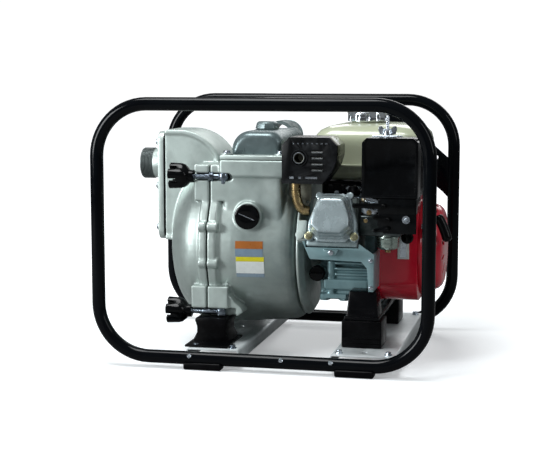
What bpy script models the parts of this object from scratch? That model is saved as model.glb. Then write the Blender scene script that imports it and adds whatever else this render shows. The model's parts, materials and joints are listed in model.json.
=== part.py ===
"""Engine-driven trash pump in a tube frame: pump, petrol engine, carrying frame.

Metres, +Z up. +X is the engine end, -X the suction end, -Y the front.
Everything is laid out from the middle of the tube loops, and the ASSEMBLY empty
moves it so that the origin is the middle of the bounding box's underside.
"""
import math

import bmesh
import bpy
from mathutils import Matrix, Vector

# ---------------------------------------------------------------- driving sizes
GAP = 0.0003             # clearance between touching pieces
LOOP_X = 0.2925          # half width of a loop, on the tube's centre line
LOOP_Y = 0.225           # each loop's distance from the middle
LOOP_LOW = 0.0185        # height of the bottom bar's centre line
LOOP_TOP = 0.4635        # height of the top bar's centre line
TUBE_R = 0.01175
CORNER_R = 0.092
OVERHANG = 0.0133        # how far the starter grip stands out past the loops

AXIS_Z = 0.199           # pump and crank axis: y = 0 at this height
DRUM_R = 0.150           # casing outside radius beside the cover
DRUM_END_R = 0.1425      # casing outside radius at the engine's end
WALL = 0.008
SEAM_X = -0.113          # plane between the cover and the casing
CASING_END = 0.045
NECK_X = (-0.089, 0.020)
NECK_Y = 0.132
NECK_TOP = 0.3617
BOLT_HIGH = (0.130, 0.331)   # |y|, z of the upper clamp bolts
BOLT_LOW = (0.149, 0.089)    # |y|, z of the lower clamp bolts
PIVOT_X = -0.088
PORT_Z = 0.345           # suction port's height
PORT_R = 0.0255
SUCTION_FACE = -0.2200   # machined face that the suction flange closes
LOBE_R = 0.088           # curve of the suction chamber's back
LOBE_SHIFT = 0.010       # how far that curve's own end lies past the seam
HOOD_TOP = 0.412
SHAFT_R = 0.010
TILT = math.radians(68)  # cylinder axis, turned from upright towards the front
CYLINDER_X = 0.118       # cylinder axis along the crankshaft
CYLINDER_BORE_R = 0.034
PISTON_R = 0.0336
COVER_MIDDLE = 0.117     # valve cover's middle along the crankshaft
THROW = 0.0225           # crank pin's distance from the crank axis
PLUG_SPOT = (-0.040, -0.1345, 0.262)     # inner end of the casing plug
CAP_SPOT = (-0.030, -0.030, 0.4003)      # inner end of the fill cap
FILLER_SPOT = (0.077, -0.0695, 0.156)    # inner end of the oil filler
SWITCH_SPOT = (0.240, -0.0943, 0.2260)   # engine switch's base
TANK_CAP_SPOT = (0.147, 0.040, 0.4265)   # underside of the fuel cap
OUTLET_X = -0.030        # discharge port's axis
OUTLET_Z = 0.3935

BLACK = ((0.012, 0.013, 0.015), 0.35, 0.0)
RUBBER = ((0.010, 0.010, 0.011), 0.75, 0.0)
CAST = ((0.42, 0.45, 0.43), 0.45, 0.6)
DARK_CAST = ((0.20, 0.23, 0.23), 0.50, 0.5)
ZINC = ((0.60, 0.63, 0.65), 0.30, 1.0)
STEEL = ((0.50, 0.50, 0.50), 0.30, 1.0)
RED = ((0.45, 0.008, 0.02), 0.30, 0.0)
CREAM = ((0.66, 0.65, 0.50), 0.35, 0.0)
BRASS = ((0.45, 0.30, 0.10), 0.35, 1.0)
CHROME = ((0.80, 0.80, 0.80), 0.10, 1.0)

ASSEMBLY = None


# ---------------------------------------------------------------- mesh helpers
def clear_scene():
    for obj in list(bpy.context.scene.objects):
        bpy.data.objects.remove(obj, do_unlink=True)


def finish(name, bm, look=None, origin=(0, 0, 0)):
    """A named object from a bmesh given in loop coordinates, origin where asked."""
    bmesh.ops.recalc_face_normals(bm, faces=bm.faces)
    bmesh.ops.translate(bm, verts=bm.verts, vec=-Vector(origin))
    mesh = bpy.data.meshes.new(name)
    bm.to_mesh(mesh)
    bm.free()
    mesh.shade_smooth()
    mesh.set_sharp_from_angle(angle=math.radians(35))
    return place(name, mesh, look, origin)


def place(name, data, look, origin=(0, 0, 0)):
    obj = bpy.data.objects.new(name, data)
    bpy.context.collection.objects.link(obj)
    obj.location = origin
    obj.parent = ASSEMBLY
    if look:
        data.materials.append(material(name, *look))
    return obj


def material(name, colour, roughness, metallic):
    mat = bpy.data.materials.new(name)
    mat.use_nodes = True
    shader = mat.node_tree.nodes["Principled BSDF"]
    shader.inputs["Base Color"].default_value = (*colour, 1.0)
    shader.inputs["Roughness"].default_value = roughness
    shader.inputs["Metallic"].default_value = metallic
    return mat


def prism(points, low, high, axis="Y"):
    """An outline drawn in the other two axes, extruded along one axis."""
    order = {"X": (2, 0, 1), "Y": (0, 2, 1), "Z": (0, 1, 2)}[axis]
    bm = bmesh.new()
    rings = []
    for level in (low, high):
        ring = []
        for a, b in points:
            spot = (a, b, level)
            ring.append(bm.verts.new([spot[order[0]], spot[order[1]], spot[order[2]]]))
        rings.append(ring)
    bm.faces.new(rings[0])
    bm.faces.new(rings[1])
    count = len(points)
    for i in range(count):
        j = (i + 1) % count
        bm.faces.new((rings[0][i], rings[0][j], rings[1][j], rings[1][i]))
    return bm


def block(low, high, bevel=0.0, segments=2):
    bm = bmesh.new()
    size = Vector(high) - Vector(low)
    middle = (Vector(high) + Vector(low)) / 2
    bmesh.ops.create_cube(bm, size=1.0, matrix=Matrix.Translation(middle) @ Matrix.Diagonal((*size, 1.0)))
    if bevel:
        bmesh.ops.bevel(bm, geom=bm.edges[:], offset=bevel, segments=segments, affect="EDGES", profile=0.5)
    return bm


def lathe(profile, steps=32, closed=False):
    """Turn (x, radius) points about the X axis; closed joins the last to the first."""
    bm = bmesh.new()
    rings = []
    for x, radius in profile:
        if radius < 1e-6:
            rings.append([bm.verts.new((x, 0, 0))])
            continue
        ring = []
        for i in range(steps):
            angle = 2 * math.pi * i / steps
            ring.append(bm.verts.new((x, radius * math.cos(angle), radius * math.sin(angle))))
        rings.append(ring)
    pairs = list(zip(rings, rings[1:]))
    if closed:
        pairs.append((rings[-1], rings[0]))
    for first, second in pairs:
        join_rings(bm, first, second, steps)
    return bm


def join_rings(bm, first, second, steps):
    for i in range(steps):
        j = (i + 1) % steps
        face = [first[i % len(first)], first[j % len(first)]]
        face += [second[j % len(second)], second[i % len(second)]]
        unique = list(dict.fromkeys(face))
        if len(unique) > 2:
            bm.faces.new(unique)


def moved(bm, matrix):
    bmesh.ops.transform(bm, matrix=matrix, verts=bm.verts)
    return bm


def on_axis(bm):
    return moved(bm, Matrix.Translation((0, 0, AXIS_Z)))


def turn_to(direction):
    return Vector((1, 0, 0)).rotation_difference(Vector(direction)).to_matrix().to_4x4()


def rod(start, end, radius, steps=20):
    start = Vector(start)
    run = Vector(end) - start
    bm = lathe([(0, 0), (0, radius), (run.length, radius), (run.length, 0)], steps)
    return moved(bm, Matrix.Translation(start) @ turn_to(run.normalized()))


def turned(profile, base, direction, steps=32, closed=False):
    """A lathe shape whose axis starts at base and runs along direction."""
    return moved(lathe(profile, steps, closed), Matrix.Translation(Vector(base)) @ turn_to(direction))


def combine(obj, operation, shapes, solver):
    """Boolean the shapes into or out of obj; they stay as hidden guides."""
    for number, shape in enumerate(shapes):
        tool = finish(f"guide_{obj.name}_{operation.lower()}_{number}", shape)
        tool.hide_render = True
        tool.display_type = "WIRE"
        step = obj.modifiers.new(f"{operation.lower()}_{number}", "BOOLEAN")
        step.operation = operation
        step.solver = solver
        step.object = tool
    return obj


def build(name, base, look, add=(), cut=(), origin=(0, 0, 0), solver="EXACT"):
    obj = finish(name, base, look, origin)
    combine(obj, "UNION", add, solver)
    combine(obj, "DIFFERENCE", cut, solver)
    return obj


def arc(centre, radius, start, end, steps):
    points = []
    for i in range(steps + 1):
        angle = math.radians(start + (end - start) * i / steps)
        points.append((centre[0] + radius * math.cos(angle), centre[1] + radius * math.sin(angle)))
    return points


def rounded(half_w, half_h, radius, centre=(0, 0), steps=4):
    points = []
    for sx, sy, start in ((1, 1, 0), (-1, 1, 90), (-1, -1, 180), (1, -1, 270)):
        corner = (centre[0] + sx * (half_w - radius), centre[1] + sy * (half_h - radius))
        points += arc(corner, radius, start, start + 90, steps)
    return points


def tube(name, points, radius, look, cyclic=False, resolution=3):
    curve = bpy.data.curves.new(name, "CURVE")
    curve.dimensions = "3D"
    curve.bevel_depth = radius
    curve.bevel_resolution = resolution
    curve.use_fill_caps = True
    spline = curve.splines.new("POLY")
    spline.points.add(len(points) - 1)
    for slot, point in zip(spline.points, points):
        slot.co = (*point, 1.0)
    spline.use_cyclic_u = cyclic
    return place(name, curve, look)


def smooth_path(knots, count):
    """Points read evenly from a Catmull-Rom curve through the knots."""
    pts = [Vector(k) for k in knots]
    pts = [2 * pts[0] - pts[1]] + pts + [2 * pts[-1] - pts[-2]]
    spans = len(knots) - 1
    path = []
    for i in range(count + 1):
        where = spans * i / count
        k = min(int(where), spans - 1)
        t = where - k
        a, b, c, d = pts[k:k + 4]
        path.append(0.5 * (2 * b + (c - a) * t + (2 * a - 5 * b + 4 * c - d) * t ** 2
                           + (3 * b - a - 3 * c + d) * t ** 3))
    return path


# ---------------------------------------------------------------- frame
def loop_points(y):
    middle = (LOOP_LOW + LOOP_TOP) / 2
    outline = rounded(LOOP_X, (LOOP_TOP - LOOP_LOW) / 2, CORNER_R, (0, middle), steps=6)
    return [(x, y, z) for x, z in outline]


def bar_cutter(y, x_low, x_high, z=LOOP_LOW):
    return rod((x_low, y, z), (x_high, y, z), TUBE_R + GAP, 20)


def make_frame():
    for name, y in (("front_loop", -LOOP_Y), ("rear_loop", LOOP_Y)):
        tube(name, loop_points(y), TUBE_R, BLACK, cyclic=True, resolution=3)
    make_brace()
    for name, low, high in (("left_channel", -0.135, -0.040), ("right_channel", 0.122, 0.236)):
        make_channel(name, low, high)
    for side, x in (("left", -0.100), ("right", 0.168)):
        for end, y in (("front", -LOOP_Y), ("rear", LOOP_Y)):
            pad = block((x - 0.034, y - 0.013, 0.0), (x + 0.034, y + 0.013, 0.013), 0.003)
            build(f"{side}_{end}_foot", pad, RUBBER, cut=[bar_cutter(y, x - 0.04, x + 0.04)])


def make_brace():
    outline = [(0.045, 0.4635), (0.150, 0.4635), (0.2925, 0.338), (0.2925, 0.258), (0.270, 0.281)]
    plate = prism(outline, LOOP_Y - 0.0035, LOOP_Y + 0.0005)
    clear = rod((0, LOOP_Y, LOOP_TOP), (0.2005, LOOP_Y, LOOP_TOP), TUBE_R + GAP, 20)
    corner = [(x, LOOP_Y, z) for x, z in arc((LOOP_X - CORNER_R, LOOP_TOP - CORNER_R), CORNER_R, 90, 0, 12)]
    side = rod((LOOP_X, LOOP_Y, 0.372), (LOOP_X, LOOP_Y, 0.2), TUBE_R + GAP, 20)
    hole = rod((0.2575, LOOP_Y - 0.02, 0.349), (0.2575, LOOP_Y + 0.02, 0.349), 0.004, 12)
    bend = [rod(a, b, TUBE_R + GAP, 20) for a, b in zip(corner, corner[1:])]
    build("rear_brace", plate, BLACK, cut=[clear, side, hole, *bend])


def make_channel(name, low, high):
    reach = LOOP_Y - TUBE_R - GAP
    outer = block((low, -reach, 0.012), (high, reach, 0.034))
    inner = block((low + 0.003, -reach - 0.01, 0.0), (high - 0.003, reach + 0.01, 0.031))
    build(name, outer, ZINC, cut=[inner])


def tapered(low, high, inset):
    """A block whose top face is drawn in by inset on every side."""
    bm = block(low, high)
    middle = (Vector(low) + Vector(high)) / 2
    for vert in bm.verts:
        if vert.co.z > middle.z:
            vert.co.x += inset if vert.co.x < middle.x else -inset
            vert.co.y += inset if vert.co.y < middle.y else -inset
    return bm


def make_mounts():
    for end, s in (("front", -1), ("rear", 1)):
        y0, y1 = sorted((s * 0.100, s * 0.168))
        lower = tapered((-0.134, y0, 0.034 + GAP), (-0.070, y1, 0.0680), 0.003)
        upper = block((-0.130, y0 + 0.006, 0.0600), (-0.074, y1 - 0.006, 0.0800), 0.003, 1)
        build(f"left_{end}_mount", lower, RUBBER, add=[upper])
        y0, y1 = sorted((s * 0.085, s * 0.152))
        pad = tapered((0.132, y0, 0.034 + GAP), (0.203, y1, 0.0830 - GAP), 0.002)
        build(f"right_{end}_mount", pad, RUBBER)
    rail = block((0.136, -0.150, 0.0830), (0.198, 0.150, 0.0902))
    towers = [tapered((0.139, -0.148, 0.0845), (0.197, -0.0950, 0.134), 0.005),
              tapered((0.139, 0.0985, 0.0845), (0.197, 0.148, 0.134), 0.005)]
    build("engine_stand", rail, BLACK, add=towers)


# ---------------------------------------------------------------- pump
def clamp_spots():
    for end, s in (("front", -1), ("rear", 1)):
        yield f"upper_{end}", s, s * BOLT_HIGH[0], BOLT_HIGH[1]
        yield f"lower_{end}", s, s * BOLT_LOW[0], BOLT_LOW[1]


def ears(x_low, x_high, foot):
    """Blocks that take the clamp bolts; foot is the underside of the lower ones."""
    shapes = []
    for s in (-1, 1):
        y0, y1 = sorted((s * 0.132, s * 0.060))
        shapes.append(block((x_low, y0, 0.287), (x_high, y1, 0.352), 0.002, 1))
        y0, y1 = sorted((s * 0.155, s * 0.105))
        shapes.append(block((x_low, y0, foot), (x_high, y1, 0.135), 0.002, 1))
        for z in (0.177, 0.243):
            y0, y1 = sorted((s * 0.161, s * 0.148))
            shapes.append(block((max(x_low, -0.128), y0, z - 0.009), (min(x_high, -0.092), y1, z + 0.009)))
    return shapes


def ear_slots():
    shapes = []
    for s in (-1, 1):
        y0, y1 = sorted((s * 0.2, s * 0.119))
        shapes.append(block((-0.16, y0, 0.3245), (-0.06, y1, 0.3375)))
        y0, y1 = sorted((s * 0.2, s * 0.138))
        shapes.append(block((-0.16, y0, 0.05), (-0.06, y1, 0.0955)))
    return shapes


def make_casing():
    face = SEAM_X + 0.0012
    drum = on_axis(lathe([(face, 0), (face, 0.158), (face + 0.016, 0.158), (face + 0.019, DRUM_R),
                          (-0.070, DRUM_R), (0.022, DRUM_END_R), (0.034, DRUM_END_R - 0.004),
                          (0.042, DRUM_END_R - 0.013), (CASING_END, DRUM_END_R - 0.025),
                          (CASING_END, 0)], 28))
    neck = block((NECK_X[0], -NECK_Y, 0.20), (NECK_X[1], NECK_Y, 0.34), 0.008, 2)
    near = (NECK_X[0] - 0.005, -NECK_Y - 0.004, 0.331)
    far = (NECK_X[1] + 0.0055, NECK_Y + 0.004, NECK_TOP)
    flange = block(near, far, 0.004, 1)
    boss = rod((PLUG_SPOT[0], -0.120, PLUG_SPOT[2]), (PLUG_SPOT[0], -0.1440, PLUG_SPOT[2]), 0.0255, 22)
    webs = []
    for s in (-1, 1):
        y0, y1 = sorted((s * 0.148, s * 0.112))
        webs.append(prism([(-0.080, 0.140), (-0.048, 0.100), (-0.072, 0.082), (-0.080, 0.082)], y0, y1))
    end = CASING_END - WALL
    cavity = on_axis(lathe([(face - 0.01, 0), (face - 0.01, DRUM_R - WALL), (-0.070, DRUM_R - WALL),
                            (0.022, DRUM_END_R - WALL), (end, DRUM_END_R - 2 * WALL), (end, 0)], 28))
    throat = block((NECK_X[0] + WALL, -NECK_Y + WALL, 0.235), (NECK_X[1] - WALL, NECK_Y - WALL, 0.40))
    cuts = [cavity, throat, rod((0.02, 0, AXIS_Z), (0.06, 0, AXIS_Z), 0.0125, 20),
            rod((PLUG_SPOT[0], -0.160, PLUG_SPOT[2]), (PLUG_SPOT[0], -0.105, PLUG_SPOT[2]), 0.0170, 18)]
    for _, s, y, z in clamp_spots():
        cuts.append(rod((PIVOT_X, y, z), (PIVOT_X, y, z + 0.016), 0.0045, 10))
        if z > AXIS_Z:
            cuts.append(rod((PIVOT_X, y, z - 0.016), (PIVOT_X, y, z), 0.0045, 10))
    build("pump_casing", drum, CAST, add=[neck, flange, boss, *ears(face, -0.074, 0.0803), *webs],
          cut=[*ear_slots(), *cuts], solver="MANIFOLD")


def lobe_outline(inset, left):
    """Side view of the suction chamber that stands up in front of the cover."""
    radius = LOBE_R - inset
    end = SEAM_X - 0.0018
    right = end - inset
    top = 0.411
    low = 0.205 + inset
    middle = (end + LOBE_SHIFT - LOBE_R, top - LOBE_R)
    start = math.degrees(math.acos((right - middle[0]) / radius))
    return [(left, low), (right, low)] + arc(middle, radius, start, 90, 8) + [(left, top - inset)]


def make_cover():
    face = SEAM_X - 0.0012
    skin = [(-0.127, 0.158), (-0.130, 0.150), (-0.1487, 0.1475), (-0.164, 0.139), (-0.1776, 0.126),
            (-0.1895, 0.108), (-0.1997, 0.082), (-0.2065, 0.048), (-0.2099, 0)]
    dome = on_axis(lathe([(face, 0), (face, 0.158), *skin], 28))
    half = 0.0565
    lobe = prism(lobe_outline(0, SUCTION_FACE), -half, half)
    flats = [e for e in lobe.edges if abs(e.verts[0].co.y - e.verts[1].co.y) < 1e-6]
    rims = [e for e in flats if e.verts[0].co.x > SUCTION_FACE + 0.001]
    bmesh.ops.bevel(lobe, geom=rims, offset=0.006, segments=2, affect="EDGES")
    inner_skin = [(x + 0.007, max(r - 0.007, 0)) for x, r in skin[2:-1]]
    inside = on_axis(lathe([(face + 0.01, 0), (face + 0.01, 0.1405), *inner_skin, (-0.2029, 0)], 28))
    chamber = prism(lobe_outline(0.0065, -0.25), -half + 0.0065, half - 0.0065)
    flat = block((-0.26, -0.075, 0.2045), (SUCTION_FACE, 0.075, 0.45))
    build("pump_cover", dome, CAST, add=[lobe, *ears(-0.142, face, 0.088)],
          cut=[inside, chamber, flat, *ear_slots()], solver="MANIFOLD")


def flange_frame(x_low, x_high, corner):
    outline = rounded(0.0565, 0.101, corner, (0, 0.306), steps=4)
    return prism(outline, x_low, x_high, axis="X")


def make_suction():
    plate = flange_frame(SUCTION_FACE - 0.0138, SUCTION_FACE - 0.0033, 0.018)
    neck = turned([(0, 0), (0, 0.0275), (0.025, 0.0275), (0.026, 0.02925), (0.0465, 0.02925),
                   (0.048, 0.0285), (0.048, 0)], (SUCTION_FACE - 0.011, 0, PORT_Z), (-1, 0, 0), 30)
    heads = []
    for y in (-0.044, 0.044):
        for z in (0.228, 0.306, 0.388):
            heads.append(moved(lathe([(0, 0), (0, 0.0075), (0.007, 0.0075), (0.007, 0)], 6),
                               Matrix.Translation((SUCTION_FACE - 0.0203, y, z))))
    bore = rod((-0.30, 0, PORT_Z), (-0.21, 0, PORT_Z), PORT_R, 32)
    build("suction_flange", plate, CAST, add=[neck, *heads], cut=[bore])
    window = block((-0.25, -0.049, 0.213), (-0.20, 0.049, 0.399), 0.006, 1)
    sheet = flange_frame(SUCTION_FACE - 0.0030, SUCTION_FACE - GAP, 0.018)
    build("suction_gasket", sheet, RUBBER, cut=[window])
    make_flap()


def make_flap():
    hinge = (SUCTION_FACE, 0, 0.3925)
    back = SUCTION_FACE - 0.0029
    disc = turned([(0, 0), (0, 0.036), (0.0035, 0.036), (0.0035, 0.020), (0.009, 0.020), (0.009, 0)],
                  (back, 0, PORT_Z), (1, 0, 0), 32)
    tab = block((back, -0.018, 0.365), (back + 0.0034, 0.018, 0.3925))
    barrel = rod((hinge[0], -0.018, hinge[2]), (hinge[0], 0.018, hinge[2]), 0.0025, 12)
    build("check_valve_flap", disc, RUBBER, add=[tab, barrel], origin=hinge)


def make_inside():
    seal = on_axis(lathe([(SEAM_X - 0.0009, 0.143), (SEAM_X - 0.0009, 0.1555),
                          (SEAM_X + 0.0009, 0.1555), (SEAM_X + 0.0009, 0.143)], 40, closed=True))
    build("cover_seal", seal, RUBBER)
    end = CASING_END - WALL - GAP
    shell = on_axis(lathe([(-0.100, 0), (-0.100, 0.090), (-0.092, 0.098), (end, 0.098), (end, 0)], 28))
    chamber = on_axis(lathe([(-0.094, 0), (-0.094, 0.092), (0.05, 0.092), (0.05, 0)], 28))
    eye = rod((-0.12, 0, AXIS_Z), (-0.08, 0, AXIS_Z), 0.030, 32)
    outlet = block((-0.075, -0.010, AXIS_Z + 0.06), (0.020, 0.060, AXIS_Z + 0.12))
    build("volute", shell, CAST, cut=[chamber, eye, outlet], solver="MANIFOLD")
    ring = on_axis(lathe([(0.0140, 0.0106), (0.0140, 0.019), (0.026, 0.019), (0.026, 0.023),
                          (end, 0.023), (end, 0.0106)], 28, closed=True))
    build("shaft_seal", ring, RUBBER)


def vane(number):
    """One curved vane, swept back from the hub to the rim."""
    outer = []
    inner = []
    for i in range(6):
        radius = 0.014 + 0.066 * i / 5
        angle = 2 * math.pi * number / 3 + 1.0 * i / 5
        outer.append((radius * math.cos(angle), radius * math.sin(angle)))
        angle += 0.10
        inner.append((radius * math.cos(angle), radius * math.sin(angle)))
    return on_axis(prism(outer + inner[::-1], -0.038, 0.006, axis="X"))


def make_rotor():
    origin = (0, 0, AXIS_Z)
    wheel = on_axis(lathe([(-0.042, 0), (-0.040, 0.010), (-0.030, 0.018), (0.004, 0.024), (0.004, 0.082),
                           (0.010, 0.082), (0.010, 0.020), (0.0135, 0.018), (0.0135, 0)], 28))
    build("impeller", wheel, DARK_CAST, add=[vane(n) for n in range(3)],
          cut=[rod((-0.030, 0, AXIS_Z), (0.03, 0, AXIS_Z), SHAFT_R + GAP, 20)], origin=origin)
    shaft = on_axis(lathe([(-0.029, 0), (-0.029, SHAFT_R), (0.245, SHAFT_R), (0.245, 0)], 16))
    cheeks = []
    for x in (0.104, 0.140):
        web = prism(rounded(0.020, 0.032, 0.012, (0, -0.004), 3), x, x + 0.013, axis="X")
        cheeks.append(on_axis(web))
        weight = prism(arc((0, 0), 0.050, 205, 335, 8), x, x + 0.013, axis="X")
        cheeks.append(on_axis(weight))
    gap = on_axis(prism(rounded(0.012, 0.011, 0.004, (0, 0), 2), 0.117, 0.140, axis="X"))
    pin = rod((0.110, 0, AXIS_Z + THROW), (0.146, 0, AXIS_Z + THROW), 0.0125, 20)
    build("crankshaft", shaft, STEEL, add=[*cheeks, pin], cut=[gap], origin=origin)
    make_flywheel(origin)


def make_flywheel(origin):
    disc = on_axis(lathe([(0.1975, 0), (0.1975, 0.076), (0.206, 0.080), (0.210, 0.080), (0.210, 0.022),
                          (0.236, 0.020), (0.236, 0)], 28))
    blades = []
    for i in range(12):
        blade = block((0.208, 0.045, -0.0018), (0.232, 0.078, 0.0018))
        turn = Matrix.Rotation(2 * math.pi * i / 12, 4, "X")
        blades.append(on_axis(moved(blade, turn)))
    build("flywheel", disc, DARK_CAST, add=blades,
          cut=[rod((0.19, 0, AXIS_Z), (0.26, 0, AXIS_Z), SHAFT_R + GAP, 20)], origin=origin)


def make_clamps():
    for label, s, y, z in clamp_spots():
        shank = rod((PIVOT_X, y, z), (-0.172, y, z), 0.005, 12)
        eye = rod((PIVOT_X, y, z - 0.0057), (PIVOT_X, y, z + 0.0057), 0.0088, 14)
        low = z - 0.0125 if z > AXIS_Z else z
        pin = rod((PIVOT_X, y, low), (PIVOT_X, y, z + 0.0125), 0.0040, 10)
        build(f"{label}_swing_bolt", shank, ZINC, add=[eye, pin], origin=(PIVOT_X, y, z))
        make_knob(f"{label}_knob", y, z)


def make_knob(name, y, z):
    outline = []
    for i in range(20):
        angle = 2 * math.pi * i / 20
        radius = 0.0195 + 0.0040 * math.cos(5 * angle)
        outline.append((radius * math.cos(angle), radius * math.sin(angle)))
    crown = moved(prism(outline, -0.186, -0.156, axis="X"), Matrix.Translation((0, y, z)))
    collar = turned([(0, 0), (0, 0.0115), (0.008, 0.0115), (0.013, 0.016), (0.016, 0.016), (0.016, 0)],
                    (-0.1428, y, z), (-1, 0, 0), 14)
    bore = rod((-0.13, y, z), (-0.176, y, z), 0.005 + 2 * GAP, 10)
    cup = turned([(0, 0), (0, 0.012), (0.02, 0.012), (0.02, 0)], (-0.1785, y, z), (-1, 0, 0), 12)
    build(name, crown, BLACK, add=[collar], cut=[bore, cup], origin=(-0.1428, y, z))


def make_discharge():
    low = NECK_TOP + GAP
    near = (NECK_X[0] - 0.005, -NECK_Y - 0.003, low)
    far = (NECK_X[1] + 0.0055, NECK_Y + 0.003, low + 0.008)
    plate = block(near, far, 0.003, 1)
    hood = hood_shell(0, -0.105, 0.095)
    port = turned([(0, 0), (0, 0.031), (0.060, 0.031), (0.061, 0.02975), (0.090, 0.02975), (0.092, 0.0285),
                   (0.092, 0)], (OUTLET_X, 0.070, OUTLET_Z), (0, 1, 0), 30)
    bolts = []
    for x in (-0.086, 0.0165):
        for y in (-0.118, 0.118):
            profile = [(0, 0), (0, 0.007), (0.012, 0.007), (0.012, 0)]
            bolts.append(turned(profile, (x, y, low + 0.004), (0, 0, 1), 6))
    spout = rod((-0.030, -0.030, 0.405), (-0.030, -0.030, 0.413), 0.021, 24)
    inner = hood_shell(0.006, -0.099, 0.089)
    bore = rod((OUTLET_X, 0.05, OUTLET_Z), (OUTLET_X, 0.18, OUTLET_Z), 0.0245, 32)
    hole = rod((-0.030, -0.030, 0.39), (-0.030, -0.030, 0.42), 0.0160, 24)
    build("discharge_elbow", plate, DARK_CAST, add=[hood, port, *bolts, spout], cut=[inner, bore, hole],
          solver="MANIFOLD")
    cap = turned([(0, 0), (0, 0.0155), (0.013, 0.0155), (0.013, 0.0225), (0.024, 0.0205), (0.027, 0.017),
                  (0.027, 0)], CAP_SPOT, (0, 0, 1), 8)
    build("fill_cap", cap, DARK_CAST, origin=CAP_SPOT)


def hood_outline(inset, shrink):
    """Cross-section of the elbow's hood; shrink draws in all but the floor."""
    floor = NECK_TOP - 0.01 if inset else NECK_TOP + 0.004
    left = -0.082 + inset + shrink
    right = 0.014 - inset - shrink
    top = HOOD_TOP - inset - shrink
    points = [(right, floor)]
    points += arc((right - 0.022, top - 0.022), 0.022, 0, 90, 4)
    points += arc((left + 0.034, top - 0.034), 0.034, 90, 180, 5)
    points.append((left, floor))
    return points


def hood_shell(inset, front, back):
    """The hood, lofted from its rounded front end to its flat back."""
    nose = 0.012
    sections = []
    for i in range(5):
        angle = math.radians(90 * i / 4)
        sections.append((front + nose * (1 - math.sin(angle)), nose * (1 - math.cos(angle))))
    bm = bmesh.new()
    rings = []
    for y, shrink in [*reversed(sections), (back, 0)]:
        rings.append([bm.verts.new((x, y, z)) for x, z in hood_outline(inset, shrink)])
    bm.faces.new(rings[0])
    bm.faces.new(rings[-1])
    for first, second in zip(rings, rings[1:]):
        join_rings(bm, first, second, len(first))
    return bm


def make_plug():
    plug = turned([(0, 0), (0, 0.0165), (0.0098, 0.0165), (0.0098, 0.0225), (0.016, 0.0225), (0.018, 0.020),
                   (0.018, 0)], PLUG_SPOT, (0, -1, 0), 24)
    slot = block((-0.0155, -0.004, -0.0012), (0.0155, 0.01, 0.0012))
    slot = moved(slot, Matrix.Rotation(math.radians(22), 4, "Y"))
    slot = moved(slot, Matrix.Translation(Vector(PLUG_SPOT) + Vector((0, -0.0205, 0))))
    build("casing_plug", plug, BLACK, cut=[slot], origin=PLUG_SPOT)


# ---------------------------------------------------------------- engine
def cyl(bm):
    """Put a shape drawn along +Z into the tilted cylinder's place."""
    return moved(bm, Matrix.Translation((0, 0, AXIS_Z)) @ Matrix.Rotation(TILT, 4, "X"))


def make_adapter():
    front = CASING_END + GAP
    profile = [(front, 0), (front, 0.132), (0.0490, 0.133), (0.0515, 0.130), (0.0540, 0.125),
               (0.0580, 0.119), (0.0580, 0.062), (0.0795, 0.056), (0.0795, 0)]
    disc = on_axis(lathe(profile, 28))
    build("pump_adapter", disc, CAST, cut=[rod((0.03, 0, AXIS_Z), (0.09, 0, AXIS_Z), 0.0125, 20)])


def make_crankcase():
    barrel = on_axis(lathe([(0.0798, 0), (0.0798, 0.076), (0.084, 0.080), (0.180, 0.080), (0.184, 0.076),
                            (0.184, 0)], 28))
    sump = block((0.0810, -0.085, 0.0905), (0.183, 0.095, 0.165), 0.006, 1)
    deck = cyl(block((0.084, -0.045, 0.0), (0.160, 0.045, 0.085), 0.004, 1))
    ribs = [block((0.112 + 0.017 * i, -0.092, 0.108), (0.116 + 0.017 * i, -0.07, 0.170)) for i in range(4)]
    posts = [block((x, y, 0.24), (x + 0.014, y + 0.03, 0.3217)) for x, y in ((0.090, 0.010), (0.160, 0.010))]
    room = on_axis(lathe([(0.090, 0), (0.090, 0.068), (0.174, 0.068), (0.174, 0)], 28))
    bore = cyl(rod((CYLINDER_X, 0, 0.02), (CYLINDER_X, 0, 0.10), CYLINDER_BORE_R, 28))
    through = rod((0.07, 0, AXIS_Z), (0.20, 0, AXIS_Z), 0.0125, 20)
    x, _, z = FILLER_SPOT
    boss = rod((x, -0.0850, z), (x, -0.0650, z), 0.0138, 20)
    filler = rod((x, -0.10, z), (x, -0.0685, z), 0.0100, 16)
    build("crankcase", barrel, CAST, add=[sump, deck, *ribs, *posts, boss], cut=[room, bore, through, filler],
          solver="MANIFOLD")
    cap = turned([(0, 0), (0, 0.0095), (0.016, 0.0095), (0.016, 0.0145), (0.028, 0.0135), (0.028, 0)],
                 FILLER_SPOT, (0, -1, 0), 18)
    grip = block((x - 0.012, -0.105, z - 0.0025), (x + 0.012, -0.095, z + 0.0025))
    build("oil_filler", cap, BLACK, add=[grip], origin=FILLER_SPOT)


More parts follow.
